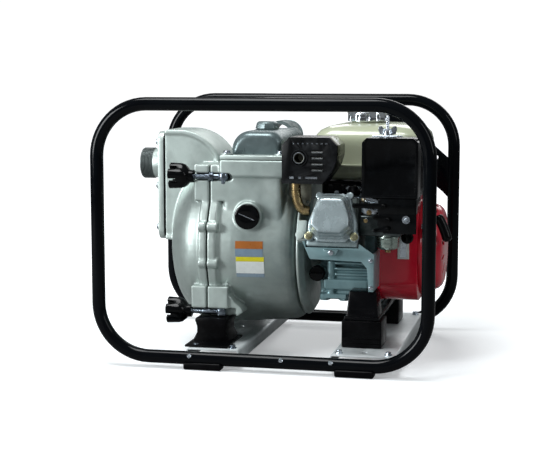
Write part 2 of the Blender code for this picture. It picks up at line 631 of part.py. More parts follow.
def make_top_end():
    low = 0.085 + GAP
    core = cyl(block((0.080, -0.042, low), (0.155, 0.042, 0.168)))
    fins = []
    for i in range(5):
        level = low + 0.004 + 0.0145 * i
        fins.append(cyl(block((0.0715, -0.050, level), (0.163, 0.050, level + 0.0055))))
    top = cyl(block((0.0715, -0.048, 0.156), (0.163, 0.048, 0.168)))
    lobe = cyl(block((0.054, -0.040, 0.1515), (0.080, -0.002, 0.168)))
    bore = cyl(rod((CYLINDER_X, 0, 0.07), (CYLINDER_X, 0, 0.152), CYLINDER_BORE_R, 28))
    build("cylinder_head", core, CAST, add=[*fins, top, lobe], cut=[bore])
    slide = Matrix.Translation((CYLINDER_X, 0, 0))
    crown_profile = [(0.100, 0), (0.100, PISTON_R), (0.143, PISTON_R), (0.143, 0)]
    skirt_r = PISTON_R - 0.0046
    hollow_profile = [(0.090, 0), (0.090, skirt_r), (0.133, skirt_r), (0.133, 0)]
    crown = cyl(moved(lathe_z(crown_profile, 28), slide))
    hollow = cyl(moved(lathe_z(hollow_profile, 28), slide))
    build("piston", crown, STEEL, cut=[hollow])
    base = 0.168 + GAP
    rim = cyl(prism(cover_outline(1.10), base, base + 0.007, axis="Z"))
    lid = cyl(cover_dome(base + 0.004, base + 0.035))
    bolts = []
    for x in (0.0800, 0.1540):
        profile = [(0, 0), (0, 0.0065), (0.006, 0.0065), (0.006, 0)]
        bolts.append(cyl(turned(profile, (x, -0.031, base + 0.006), (0, 0, 1), 6)))
    build("valve_cover", rim, ZINC, add=[lid, *bolts])


def lathe_z(profile, steps):
    return moved(lathe(profile, steps), turn_to((0, 0, 1)))


def cover_outline(scale):
    """Valve cover seen end on: narrow at the top, widest low down, cut corners below."""
    half = [(0.021, 0.0400), (0.026, 0.0340), (0.0395, -0.016), (0.0395, -0.026), (0.026, -0.038)]
    right = [(COVER_MIDDLE + x * scale, y * scale) for x, y in half]
    left = [(COVER_MIDDLE - x * scale, y * scale) for x, y in reversed(half)]
    return right + left


def cover_dome(low, high):
    bm = prism(cover_outline(1.0), low, high, axis="Z")
    bmesh.ops.bevel(bm, geom=[e for e in bm.edges if min(v.co.z for v in e.verts) > high - 1e-6],
                    offset=0.007, segments=3, affect="EDGES")
    return bm


def guard_outline(inset):
    """Front view of the muffler guard, drawn in by about inset."""
    corners = [(0.027, 0.324), (0.099, 0.324), (0.119, 0.352), (0.125, 0.370), (0.125, 0.391), (0.111, 0.405),
               (0.041, 0.405), (0.027, 0.391)]
    middle = (0.076, 0.3645)
    scale = 1 - inset / 0.0405
    return [(middle[0] + (x - middle[0]) * scale, middle[1] + (z - middle[1]) * scale) for x, z in corners]


def make_exhaust():
    body = prism(guard_outline(0.0065), -0.153, -0.095)
    tail = rod((0.058, -0.150, 0.369), (0.058, -0.168, 0.369), 0.0105, 24)
    mouth = rod((0.058, -0.135, 0.369), (0.058, -0.175, 0.369), 0.0080, 20)
    build("muffler", body, DARK_CAST, add=[tail], cut=[mouth])
    cuts = [prism(guard_outline(0.002), -0.163, -0.06),
            rod((0.058, -0.18, 0.369), (0.058, -0.15, 0.369), 0.0125, 24),
            block((0.036, -0.150, 0.31), (0.092, -0.10, 0.329))]
    for i in range(4):
        cuts.append(block((0.084, -0.17, 0.346 + 0.011 * i), (0.106, -0.16, 0.350 + 0.011 * i)))
    for i in range(8):
        cuts.append(block((0.040 + 0.0095 * i, -0.17, 0.3935), (0.044 + 0.0095 * i, -0.16, 0.3965)))
    for low, high in ((0.038, 0.046), (0.051, 0.055), (0.062, 0.082)):
        cuts.append(block((low, -0.17, 0.3310), (high, -0.16, 0.3350)))
    build("muffler_guard", prism(guard_outline(0), -0.165, -0.088), BLACK, cut=cuts)
    y = -0.135
    knots = [(0.046, y, 0.3299), (0.046, y, 0.318), (0.047, y, 0.300), (0.051, y, 0.285), (0.058, y, 0.2765),
             (0.066, y, 0.2738), (0.0708, y, 0.2737)]
    tube("exhaust_pipe", smooth_path(knots, 14), 0.0085, BRASS, resolution=2)


def make_fan_side():
    outline = rounded(0.094, 0.094, 0.045, (0, 0.2010), 6)
    shell = prism(outline, 0.187, 0.257, axis="X")
    room = on_axis(lathe([(0.18, 0), (0.18, 0.0895), (0.2545, 0.0895), (0.2545, 0)], 28))
    mouth = rod((0.25, 0, AXIS_Z), (0.27, 0, AXIS_Z), 0.072, 28)
    build("fan_shroud", shell, RED, cut=[room, mouth])
    outer = [(0.257 + GAP, 0.0885), (0.262, 0.0885), (0.268, 0.083), (0.288, 0.076), (0.297, 0.064),
             (0.300, 0.034), (0.300, 0)]
    bowl = on_axis(lathe([(0.257 + GAP, 0), *outer], 28))
    hollow = on_axis(lathe([(0.25, 0), (0.25, 0.0800), (0.266, 0.0795), (0.286, 0.073), (0.294, 0.062),
                            (0.297, 0.034), (0.297, 0)], 28))
    vents = []
    for i in (0, 1, 2, 3, 5, 6, 7, 8, 9):
        slot = block((0.270, 0.060, -0.0045), (0.286, 0.10, 0.0045))
        vents.append(on_axis(moved(slot, Matrix.Rotation(2 * math.pi * (i + 0.5) / 10, 4, "X"))))
    guide = on_axis(block((0.270, -0.095, 0.030), (0.286, -0.070, 0.054)))
    build("recoil_starter", bowl, RED, add=[guide], cut=[hollow, *vents], solver="MANIFOLD")
    start, end = Vector((0.2915, -0.0845, 0.2655)), Vector((0.3105, -0.0845, 0.2200))
    away = end - start
    grip = turned([(0, 0), (0, 0.006), (0.003, 0.0082), (0.012, 0.0075), (away.length - 0.012, 0.0075),
                   (away.length - 0.003, 0.0082), (away.length, 0.006), (away.length, 0)],
                  start, away.normalized(), 16)
    build("starter_grip", grip, BLACK, origin=(start + end) / 2)
    profile = [(0, 0), (0, 0.011), (0.006, 0.011), (0.008, 0.009), (0.008, 0)]
    knob = turned(profile, SWITCH_SPOT, (0, -1, 0), 20)
    bar = block((0.2375, -0.1085, 0.2170), (0.2425, -0.100, 0.2350))
    build("engine_switch", knob, BLACK, add=[bar], origin=SWITCH_SPOT)


def make_fuel():
    body = block((0.0600, -0.060, 0.322), (0.262, 0.150, 0.424), 0.022, 2)
    seam = block((0.0567, -0.064, 0.3480), (0.266, 0.154, 0.3515))
    neck = rod((0.147, 0.040, 0.41), (0.147, 0.040, 0.434), 0.030, 28)
    room = block((0.0635, -0.0565, 0.3255), (0.2585, 0.1465, 0.4205), 0.019, 2)
    hole = rod((0.147, 0.040, 0.40), (0.147, 0.040, 0.44), 0.0265, 28)
    build("fuel_tank", body, CREAM, add=[seam, neck], cut=[room, hole])
    cap = turned([(0, 0), (0, 0.0375), (0.015, 0.0375), (0.019, 0.034), (0.019, 0)], TANK_CAP_SPOT,
                 (0, 0, 1), 28)
    well = rod((0.147, 0.040, 0.42), (0.147, 0.040, 0.4395), 0.0305, 28)
    build("fuel_cap", cap, CHROME, cut=[well], origin=TANK_CAP_SPOT)


def make_intake():
    case = block((0.196, -0.163, 0.272), (0.263, -0.0975, 0.3017), 0.003, 1)
    skirt = block((0.196, -0.163, 0.240), (0.263, -0.1585, 0.275))
    throat = block((0.202, -0.150, 0.277), (0.257, -0.104, 0.31))
    build("air_cleaner_case", case, BLACK, add=[skirt], cut=[throat])
    cover_shape = [(0.168, 0.302), (0.265, 0.302), (0.265, 0.397), (0.257, 0.405), (0.176, 0.405),
                   (0.168, 0.397)]
    lid = prism(cover_shape, -0.165, -0.072)
    lid_room = block((0.171, -0.162, 0.29), (0.262, -0.075, 0.402))
    build("air_cleaner_cover", lid, BLACK, cut=[lid_room])
    body = block((0.1633, -0.156, 0.2340), (0.236, -0.122, 0.2695), 0.003, 1)
    bowl = turned([(0, 0), (0, 0.012), (0.003, 0.0192), (0.020, 0.0192), (0.028, 0.017), (0.028, 0)],
                  (0.2115, -0.139, 0.209), (0, 0, 1), 28)
    screw = turned([(0, 0), (0, 0.005), (0.008, 0.005), (0.008, 0)], (0.2115, -0.139, 0.204), (0, 0, 1), 6)
    throat = rod((0.15, -0.139, 0.253), (0.25, -0.139, 0.253), 0.010, 20)
    build("carburettor", body, ZINC, add=[bowl, screw], cut=[throat])


def lever(name, pivot, length, width, angle, look):
    """A flat arm with round ends, turning about Y at its pivot."""
    half = width / 2
    outline = arc((0, 0), half, 90, 270, 6) + arc((length, 0), half * 0.8, -90, 90, 6)
    bm = prism(outline, -0.002, 0.002)
    bm = moved(bm, Matrix.Translation(Vector(pivot)) @ Matrix.Rotation(math.radians(angle), 4, "Y"))
    hub = rod((pivot[0], pivot[1] + 0.001, pivot[2]), (pivot[0], pivot[1] - 0.005, pivot[2]), half * 0.7, 12)
    build(name, bm, look, add=[hub], origin=pivot)


def make_controls():
    lever("throttle_lever", (0.206, -0.1655, 0.2880), 0.050, 0.010, 180, BLACK)
    lever("choke_lever", (0.214, -0.1655, 0.2650), 0.022, 0.009, 190, BLACK)
    lever("fuel_lever", (0.214, -0.1655, 0.2485), 0.022, 0.008, 172, BLACK)


def make_ignition():
    boot = cyl(turned([(0, 0), (0, 0.0115), (0.010, 0.0095), (0.0135, 0.0095), (0.0135, 0)],
                      (0.146, 0.050 + GAP, 0.150), (0, 1, 0), 20))
    outlet = rod((0.146, -0.1200, 0.3075), (0.1575, -0.1165, 0.3075), 0.0058, 14)
    build("spark_plug_cap", boot, RUBBER, add=[outlet])
    knots = [(0.1583, -0.11626, 0.3075), (0.1598, -0.11580, 0.3075), (0.1609, -0.1130, 0.3075),
             (0.1612, -0.104, 0.3078), (0.1612, -0.088, 0.3080), (0.1622, -0.074, 0.3080),
             (0.1675, -0.0645, 0.3078), (0.1790, -0.0625, 0.3065), (0.1890, -0.0610, 0.3040),
             (0.1945, -0.0595, 0.3000), (0.1960, -0.0590, 0.2955)]
    tube("ignition_lead", smooth_path(knots, 24), 0.0035, RUBBER, resolution=2)


def main():
    global ASSEMBLY
    clear_scene()
    ASSEMBLY = bpy.data.objects.new("assembly", None)
    ASSEMBLY.location = (-OVERHANG / 2, 0, 0)
    bpy.context.collection.objects.link(ASSEMBLY)
    make_frame()
    make_mounts()
    make_casing()
    make_cover()
    make_suction()
    make_inside()
    make_rotor()
    make_clamps()
    make_discharge()
    make_plug()
    make_adapter()
    make_crankcase()
    make_top_end()
    make_exhaust()
    make_fan_side()
    make_fuel()
    make_intake()
    make_controls()
    make_ignition()


main()
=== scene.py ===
import json
import math

import bmesh
import bpy
from mathutils import Matrix, Vector


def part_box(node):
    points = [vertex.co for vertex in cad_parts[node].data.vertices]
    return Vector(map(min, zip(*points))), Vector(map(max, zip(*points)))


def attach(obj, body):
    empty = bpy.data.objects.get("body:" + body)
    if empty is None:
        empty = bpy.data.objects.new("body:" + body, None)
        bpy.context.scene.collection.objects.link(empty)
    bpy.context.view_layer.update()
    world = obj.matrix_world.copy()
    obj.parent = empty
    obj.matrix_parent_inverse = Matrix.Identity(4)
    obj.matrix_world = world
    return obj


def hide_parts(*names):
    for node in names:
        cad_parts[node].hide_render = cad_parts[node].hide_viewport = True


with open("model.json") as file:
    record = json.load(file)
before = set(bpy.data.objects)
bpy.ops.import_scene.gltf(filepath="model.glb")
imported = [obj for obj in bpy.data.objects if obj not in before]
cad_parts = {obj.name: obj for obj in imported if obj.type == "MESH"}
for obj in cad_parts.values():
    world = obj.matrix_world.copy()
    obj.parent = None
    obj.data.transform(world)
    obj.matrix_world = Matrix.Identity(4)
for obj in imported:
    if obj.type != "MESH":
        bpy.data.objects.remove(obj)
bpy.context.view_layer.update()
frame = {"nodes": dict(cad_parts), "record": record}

# ---------------------------------------------------------------- where things are
# Shapes are drawn from the middle of the loops, and piece() moves them by SHIFT into the CAD's frame.
loop_low, loop_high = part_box("front_loop")
SHIFT = (loop_low.x + loop_high.x) / 2
TUBE_R = (loop_high.y - loop_low.y) / 2
LOOP_Y = -(loop_low.y + loop_high.y) / 2
LOOP_X = (loop_high.x - loop_low.x) / 2 - TUBE_R
LOOP_LOW = loop_low.z + TUBE_R
LOOP_TOP = loop_high.z - TUBE_R
CORNER_R = 0.092


def span(node):
    """A node's lowest and highest corners."""
    low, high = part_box(node)
    return low - Vector((SHIFT, 0, 0)), high - Vector((SHIFT, 0, 0))


def centre(node):
    low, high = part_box(node)
    return (low + high) / 2 - Vector((SHIFT, 0, 0))


def joint_spot(body):
    """Where a body's joint is."""
    for joint in frame["record"]["behaviour"]["joints"]:
        if joint["child"] == body:
            return Vector(joint["pos_m"]) - Vector((SHIFT, 0, 0))
    raise ValueError(body)


GAP = 0.0003                                # between pieces that touch
FRONT, UP, LEFT = (0, -1, 0), (0, 0, 1), (-1, 0, 0)
AXIS_Z = centre("flywheel").z               # the shaft's height
SEAM_X = centre("cover_seal").x             # where the casing meets its cover
SUCTION_FACE = span("suction_gasket")[1].x + GAP
PLUG = centre("casing_plug")
NECK_TOP = span("pump_casing")[1].z
# The record gives each port by its rim, which stands above the port's middle.
PORT_Z = frame["record"]["mounts"][1]["pos_m"][2] - 0.027
OUTLET_Z = frame["record"]["mounts"][2]["pos_m"][2] - 0.0265


# ---------------------------------------------------------------- shape helpers
def prism(points, low, high, axis="Y"):
    """An outline carried straight from low to high along an axis."""
    order = {"X": (2, 0, 1), "Y": (0, 2, 1), "Z": (0, 1, 2)}[axis]
    bm = bmesh.new()
    rings = []
    for level in (low, high):
        ring = []
        for a, b in points:
            spot = (a, b, level)
            ring.append(bm.verts.new([spot[order[0]], spot[order[1]], spot[order[2]]]))
        rings.append(ring)
    bm.faces.new(rings[0])
    bm.faces.new(rings[1])
    join_rings(bm, rings[0], rings[1], len(points))
    return bm


def join_rings(bm, first, second, steps):
    """Faces between two rings; a ring of one point gives triangles."""
    for i in range(steps):
        j = (i + 1) % steps
        face = [first[i % len(first)], first[j % len(first)]]
        face += [second[j % len(second)], second[i % len(second)]]
        unique = list(dict.fromkeys(face))
        if len(unique) > 2:
            bm.faces.new(unique)


def block(low, high, bevel=0.0, segments=3):
    bm = bmesh.new()
    size = Vector(high) - Vector(low)
    middle = (Vector(high) + Vector(low)) / 2
    bmesh.ops.create_cube(bm, size=1.0, matrix=Matrix.Translation(middle)
            @ Matrix.Diagonal((*size, 1.0)))
    if bevel:
        bmesh.ops.bevel(bm, geom=bm.edges[:], offset=bevel,
                segments=segments, affect="EDGES", profile=0.5)
    return bm


def side_block(s, x0, x1, inner, outer, z0, z1, *edge):
    """A block on one side of the middle plane, s being -1 in front and 1 behind."""
    y0, y1 = sorted((s * outer, s * inner))
    return block((x0, y0, z0), (x1, y1, z1), *edge)


def tapered(low, high, inset, bevel):
    """A block whose top is smaller than its foot."""
    bm = block(low, high)
    middle = (Vector(low) + Vector(high)) / 2
    for vert in bm.verts:
        if vert.co.z > middle.z:
            vert.co.x += inset if vert.co.x < middle.x else -inset
            vert.co.y += inset if vert.co.y < middle.y else -inset
    bmesh.ops.bevel(bm, geom=bm.edges[:], offset=bevel, segments=2, affect="EDGES", profile=0.5)
    return bm


def skinned(sections):
    """A skin over rings of points, one after another, closed at both ends."""
    bm = bmesh.new()
    rings = [[bm.verts.new(point) for point in section] for section in sections]
    for first, second in zip(rings, rings[1:]):
        join_rings(bm, first, second, len(first))
    bm.faces.new(rings[0])
    bm.faces.new(rings[-1])
    return bm


def lathe(profile, steps, closed=False):
    """A profile of (x, radius) turned about X, closed on itself or on the axis."""
    if not closed and profile[0][1]:
        profile = [(profile[0][0], 0), *profile]
    if not closed and profile[-1][1]:
        profile = [*profile, (profile[-1][0], 0)]
    bm = bmesh.new()
    rings = []
    for x, radius in profile:
        if radius < 1e-6:
            rings.append([bm.verts.new((x, 0, 0))])
            continue
        ring = []
        for i in range(steps):
            angle = 2 * math.pi * i / steps
            ring.append(bm.verts.new((x, radius * math.cos(angle), radius * math.sin(angle))))
        rings.append(ring)
    pairs = list(zip(rings, rings[1:]))
    if closed:
        pairs.append((rings[-1], rings[0]))
    for first, second in pairs:
        join_rings(bm, first, second, steps)
    return bm


def moved(bm, matrix):
    bmesh.ops.transform(bm, matrix=matrix, verts=bm.verts)
    return bm


def shifted(bm, x, y, z):
    return moved(bm, Matrix.Translation((x, y, z)))


def on_axis(bm):
    return shifted(bm, 0, 0, AXIS_Z)


def turn_to(direction):
    return Vector((1, 0, 0)).rotation_difference(Vector(direction)).to_matrix().to_4x4()


def turned(profile, base, direction, steps=48, closed=False):
    """A turned shape that stands on a base and points in a direction."""
    return moved(lathe(profile, steps, closed), Matrix.Translation(Vector(base)) @ turn_to(direction))


def rod(start, end, radius, steps=32):
    run = Vector(end) - Vector(start)
    return turned([(0, radius), (run.length, radius)], start, run.normalized(), steps)


def arc(middle, radius, start, end, steps):
    """Points on an arc between two angles in degrees."""
    points = []
    for i in range(steps + 1):
        angle = math.radians(start + (end - start) * i / steps)
        points.append((middle[0] + radius * math.cos(angle), middle[1] + radius * math.sin(angle)))
    return points


def rounded(half_w, half_h, radius, middle, steps=8):
    """A rectangle with round corners."""
    points = []
    for sx, sy, start in ((1, 1, 0), (-1, 1, 90), (-1, -1, 180), (1, -1, 270)):
        corner = (middle[0] + sx * (half_w - radius), middle[1] + sy * (half_h - radius))
        points += arc(corner, radius, start, start + 90, steps)
    return points


def smooth_path(knots, count):
    """A Catmull-Rom curve through the knots."""
    pts = [Vector(k) for k in knots]
    pts = [2 * pts[0] - pts[1]] + pts + [2 * pts[-1] - pts[-2]]
    spans = len(knots) - 1
    path = []
    for i in range(count + 1):
        where = spans * i / count
        k = min(int(where), spans - 1)
        t = where - k
        a, b, c, d = pts[k:k + 4]
        path.append(0.5 * (2 * b + (c - a) * t + (2 * a - 5 * b + 4 * c - d) * t ** 2
                           + (3 * b - a - 3 * c + d) * t ** 3))
    return path


def sweep(points, radius, sides, closed=False):
    """A tube along the points; its frame is carried along without twisting."""
    points = [Vector(p) for p in points]
    count = len(points)
    bm = bmesh.new()
    rings = []
    across = None
    for i, point in enumerate(points):
        before = points[(i - 1) % count] if closed or i else point
        after = points[(i + 1) % count] if closed or i < count - 1 else point
        along = (after - before).normalized()
        if across is None:
            across = along.orthogonal().normalized()
        across = (across - along * across.dot(along)).normalized()
        other = along.cross(across)
        ring = []
        for k in range(sides):
            angle = 2 * math.pi * k / sides
            ring.append(bm.verts.new(point + radius * (across * math.cos(angle)
                    + other * math.sin(angle))))
        rings.append(ring)
    for first, second in zip(rings, rings[1:]):
        join_rings(bm, first, second, sides)
    if closed:
        ends = [(rings[-1][k].co - rings[0][0].co).length for k in range(sides)]
        twist = ends.index(min(ends))
        last = rings[-1][twist:] + rings[-1][:twist]
        join_rings(bm, last, rings[0], sides)
    else:
        bm.faces.new(rings[0])
        bm.faces.new(rings[-1])
    return bm


def coil(start, end, radius, turns, wire):
    """A helical spring of round wire."""
    start, end = Vector(start), Vector(end)
    steps = turns * 12
    turn = turn_to((end - start).normalized())
    length = (end - start).length
    points = []
    for i in range(steps + 1):
        angle = 2 * math.pi * turns * i / steps
        local = Vector((length * i / steps, radius * math.cos(angle), radius * math.sin(angle)))
        points.append(start + turn @ local)
    return sweep(points, wire, 6)


def hexagon(base, direction, across, height):
    """A bolt head with a chamfered top and a thin washer face."""
    r = across / 2
    head = turned([(0, r), (height * 0.85, r), (height, r * 0.86)], base, direction, 6)
    washer = turned([(-0.0012, r * 1.25), (0.0006, r * 1.25)], base, direction, 24)
    return joined(head, washer)


def joined(*shapes):
    """Several closed shapes as one mesh; the shapes are used up."""
    first = shapes[0]
    for shape in shapes[1:]:
        mesh = bpy.data.meshes.new("part")
        shape.to_mesh(mesh)
        shape.free()
        first.from_mesh(mesh)
        bpy.data.meshes.remove(mesh)
    return first


def holder(bm):
    """The shape as an object, for its modifiers; the shape is used up."""
    bmesh.ops.recalc_face_normals(bm, faces=bm.faces)
    mesh = bpy.data.meshes.new("work")
    bm.to_mesh(mesh)
    bm.free()
    obj = bpy.data.objects.new("work", mesh)
    bpy.context.collection.objects.link(obj)
    return obj


def baked(obj):
    """The object's shape with its modifiers applied, as a new mesh."""
    graph = bpy.context.evaluated_depsgraph_get()
    mesh = bpy.data.meshes.new_from_object(obj.evaluated_get(graph))
    old = obj.data
    bpy.data.objects.remove(obj)
    bpy.data.meshes.remove(old)
    return mesh


def carved(base, add=(), cut=()):
    """A shape with others joined on, and then others cut out."""
    obj = holder(base)
    guides = []
    for operation, shapes in (("UNION", add), ("DIFFERENCE", cut)):
        for shape in shapes:
            tool = holder(shape)
            guides.append(tool)
            step = obj.modifiers.new("step", "BOOLEAN")
            step.operation = operation
            step.solver = "MANIFOLD"
            step.object = tool
    mesh = baked(obj)
    for tool in guides:
        old = tool.data
        bpy.data.objects.remove(tool)
        bpy.data.meshes.remove(old)
    bm = bmesh.new()
    bm.from_mesh(mesh)
    bpy.data.meshes.remove(mesh)
    return bm


def piece(name, bm, look, body="root", node=None, bevel=0.0, cast=0.0, keep=1.0, soften=4, angle=32,
          finish=None):
    """One visible piece.

    look is its slot and material, and finish another material in that slot. cast is a voxel size,
    which rounds a casting's edges and corners, soften how often it is smoothed and keep the share of
    its faces that stay. angle is the sharpest bend that is shaded smooth.
    """
    shifted(bm, SHIFT, 0, 0)
    obj = holder(bm)
    obj.name = name
    if cast:
        remesh = obj.modifiers.new("cast", "REMESH")
        remesh.mode = "VOXEL"
        remesh.voxel_size = cast
        smooth = obj.modifiers.new("soften", "SMOOTH")
        smooth.factor = 0.5
        smooth.iterations = soften
        fewer = obj.modifiers.new("fewer", "DECIMATE")
        fewer.ratio = keep
    if bevel:
        edge = obj.modifiers.new("edge", "BEVEL")
        edge.width = bevel
        edge.segments = 2
        edge.limit_method = "ANGLE"
        edge.angle_limit = math.radians(30)
        edge.use_clamp_overlap = True
    mesh = baked(obj)
    mesh.name = name
    obj = bpy.data.objects.new(name, mesh)
    bpy.context.collection.objects.link(obj)
    mesh.shade_smooth()
    mesh.set_sharp_from_angle(angle=math.radians(60 if cast else angle))
    mesh.materials.clear()
    mesh.materials.append(OTHER_LOOKS[finish] if finish else LOOKS[look])
    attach(obj, body)
    if node:
        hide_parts(node)


def heads(name, rows, finish=None):
    """Bolt heads as one piece; a row is a head's base, direction, width and height."""
    piece(name, joined(*[hexagon(*row) for row in rows]), "zinc_hardware", bevel=0.0003, finish=finish)


# ---------------------------------------------------------------- materials
EVEN = (1, 1, 1)                            # noise that isn't stretched


class Surface:
    """A Principled material built up node by node on object coordinates."""

    def __init__(self, name, colour, roughness, metallic=0.0):
        self.mat = bpy.data.materials.new(name)
        self.mat.use_nodes = True
        self.tree = self.mat.node_tree
        self.shader = self.tree.nodes["Principled BSDF"]
        self.shader.inputs["Base Color"].default_value = (*colour, 1.0)
        self.shader.inputs["Roughness"].default_value = roughness
        self.shader.inputs["Metallic"].default_value = metallic
        self.painted = colour
        self.roughness = roughness
        self.spot = self.tree.nodes.new("ShaderNodeTexCoord").outputs["Object"]
        self.normal = None

    def link(self, a, b):
        self.tree.links.new(a, b)

    def noise(self, scale, detail, stretch):
        mapping = self.tree.nodes.new("ShaderNodeMapping")
        mapping.inputs["Scale"].default_value = stretch
        self.link(self.spot, mapping.inputs["Vector"])
        node = self.tree.nodes.new("ShaderNodeTexNoise")
        node.inputs["Scale"].default_value = scale
        node.inputs["Detail"].default_value = detail
        node.inputs["Roughness"].default_value = 0.55
        self.link(mapping.outputs["Vector"], node.inputs["Vector"])
        return node.outputs["Fac"]

    def ranged(self, value, low, high, to_low, to_high):
        node = self.tree.nodes.new("ShaderNodeMapRange")
        node.inputs["From Min"].default_value = low
        node.inputs["From Max"].default_value = high
        node.inputs["To Min"].default_value = to_low
        node.inputs["To Max"].default_value = to_high
        self.link(value, node.inputs["Value"])
        return node.outputs["Result"]

    def mixed(self, factor, a, b):
        node = self.tree.nodes.new("ShaderNodeMix")
        node.data_type = "RGBA"
        self.link(factor, node.inputs["Factor"])
        for socket, value in (("A", a), ("B", b)):
            target = [s for s in node.inputs if s.name == socket and s.type == "RGBA"][0]
            if isinstance(value, tuple):
                target.default_value = (*value, 1.0)
            else:
                self.link(value, target)
        return [s for s in node.outputs if s.type == "RGBA"][0]

    def paint(self, value):
        self.link(value, self.shader.inputs["Base Color"])
        self.painted = value

    def painted_shade_along_x(self, reach, other):
        """Painted shade: a slow change to a second, darker colour along the pump's axis."""
        parts = self.tree.nodes.new("ShaderNodeSeparateXYZ")
        self.link(self.spot, parts.inputs["Vector"])
        self.paint(self.mixed(self.ranged(parts.outputs["X"], *reach, 0.0, 1.0), self.painted, other))

    def mottled(self, other, scale, low, high, detail=3.0, stretch=EVEN):
        """Patches of a second colour over the first."""
        factor = self.ranged(self.noise(scale, detail, stretch), low, high, 0.0, 1.0)
        self.paint(self.mixed(factor, self.painted, other))

    def wear_and_edge_highlight(self, other, low, high, amount):
        """A second colour along the raised edges, broken up by noise: partly wear, partly a painted
        highlight.
        """
        geometry = self.tree.nodes.new("ShaderNodeNewGeometry")
        edge = self.ranged(geometry.outputs["Pointiness"], low, high, 0.0, amount)
        patch = self.ranged(self.noise(90.0, 3.0, EVEN), 0.35, 0.6, 0.2, 1.0)
        both = self.tree.nodes.new("ShaderNodeMath")
        both.operation = "MULTIPLY"
        self.link(edge, both.inputs[0])
        self.link(patch, both.inputs[1])
        self.paint(self.mixed(both.outputs["Value"], self.painted, other))

    def creased(self, other, low, high, amount):
        """A darker colour in the hollows."""
        geometry = self.tree.nodes.new("ShaderNodeNewGeometry")
        hollow = self.ranged(geometry.outputs["Pointiness"], low, high, amount, 0.0)
        self.paint(self.mixed(hollow, self.painted, other))

    def gloss(self, scale, spread, detail=3.0, stretch=EVEN):
        """Roughness that wanders about its mean."""
        low, high = self.roughness - spread, self.roughness + spread
        self.link(self.ranged(self.noise(scale, detail, stretch), 0.3, 0.7, low, high),
                  self.shader.inputs["Roughness"])

    def bump(self, scale, distance, strength, detail=4.0, stretch=EVEN):
        """Fine relief, added to any that is there already."""
        node = self.tree.nodes.new("ShaderNodeBump")
        node.inputs["Strength"].default_value = strength
        node.inputs["Distance"].default_value = distance
        self.link(self.noise(scale, detail, stretch), node.inputs["Height"])
        if self.normal:
            self.link(self.normal, node.inputs["Normal"])
        self.normal = node.outputs["Normal"]
        self.link(self.normal, self.shader.inputs["Normal"])

    def coat(self, weight, roughness):
        self.shader.inputs["Coat Weight"].default_value = weight
        self.shader.inputs["Coat Roughness"].default_value = roughness

    def dim_for_light(self, tone):
        """The floor looks pale, but throws back only as much light as a grey one."""
        grey = self.tree.nodes.new("ShaderNodeBsdfDiffuse")
        grey.inputs["Color"].default_value = (tone, tone, tone, 1.0)
        path = self.tree.nodes.new("ShaderNodeLightPath")
        pick = self.tree.nodes.new("ShaderNodeMixShader")
        self.link(path.outputs["Is Camera Ray"], pick.inputs["Fac"])
        self.link(grey.outputs["BSDF"], pick.inputs[1])
        self.link(self.shader.outputs["BSDF"], pick.inputs[2])
        self.link(pick.outputs["Shader"], self.tree.nodes["Material Output"].inputs["Surface"])

    def specular(self, value):
        self.shader.inputs["Specular IOR Level"].default_value = value


def casting(name, colour, light, dark, roughness, metallic, grain=0.00022, across=None):
    """Sand-cast metal: fine grain, cloudy tone, darker in corners, bright edges that are partly rubbed wear
    and partly a painted highlight.
    """
    s = Surface(name, colour, roughness, metallic)
    # across, when given, darkens the colour along x: painted shade.
    if across:
        s.painted_shade_along_x(*across)
    s.mottled(tuple((a + b) / 2 for a, b in zip(light, colour)), 14.0, 0.4, 0.8, 5.0)
    s.mottled(tuple((a + 3 * b) / 4 for a, b in zip(dark, colour)), 45.0, 0.5, 0.8, 6.0)
    s.creased(dark, 0.4, 0.49, 0.8)
    s.wear_and_edge_highlight(light, 0.52, 0.6, 0.7)
    s.gloss(60.0, 0.08)
    s.bump(900.0, grain, 0.55, 3.0)
    s.bump(120.0, grain * 1.6, 0.3, 3.0)
    return s


def enamel(name, colour, dark, roughness, coat, specular=0.5):
    """Sprayed paint under a thin clear coat, with a faint orange peel."""
    s = Surface(name, colour, roughness)
    s.mottled(dark, 9.0, 0.4, 0.75)
    s.gloss(30.0, 0.05)
    s.bump(420.0, 0.00006, 0.35, 2.0)
    s.bump(38.0, 0.0003, 0.12, 2.0)
    s.coat(coat, 0.06)
    s.specular(specular)
    return s


def metal(name, colour, light, dark, roughness, stretch=EVEN, grain=0.00005, metallic=1.0):
    """Plated or bare sheet and bar, cloudy, darker in its corners."""
    s = Surface(name, colour, roughness, metallic)
    s.mottled(light, 30.0, 0.35, 0.7, 4.0, stretch)
    s.mottled(dark, 75.0, 0.6, 0.85, 5.0)
    s.creased(dark, 0.42, 0.49, 0.5)
    s.gloss(140.0, 0.08, 4.0, stretch)
    s.bump(700.0, grain, 0.5, 3.0, stretch)
    return s


def moulded(name, colour, light, roughness, grain, scale, specular):
    """Plastic or rubber with a fine moulded grain and paler edges, partly rubbed wear and partly a painted
    highlight.
    """
    s = Surface(name, colour, roughness)
    s.mottled(light, 40.0, 0.5, 0.9)
    s.wear_and_edge_highlight(light, 0.53, 0.62, 0.6)
    s.gloss(80.0, 0.06)
    s.bump(scale, grain, 0.5, 2.0)
    s.specular(specular)
    return s


def finishes(rows):
    """Materials by name, each from its recipe and the recipe's values."""
    return {name: recipe(name, *values).mat for name, (recipe, *values) in rows.items()}


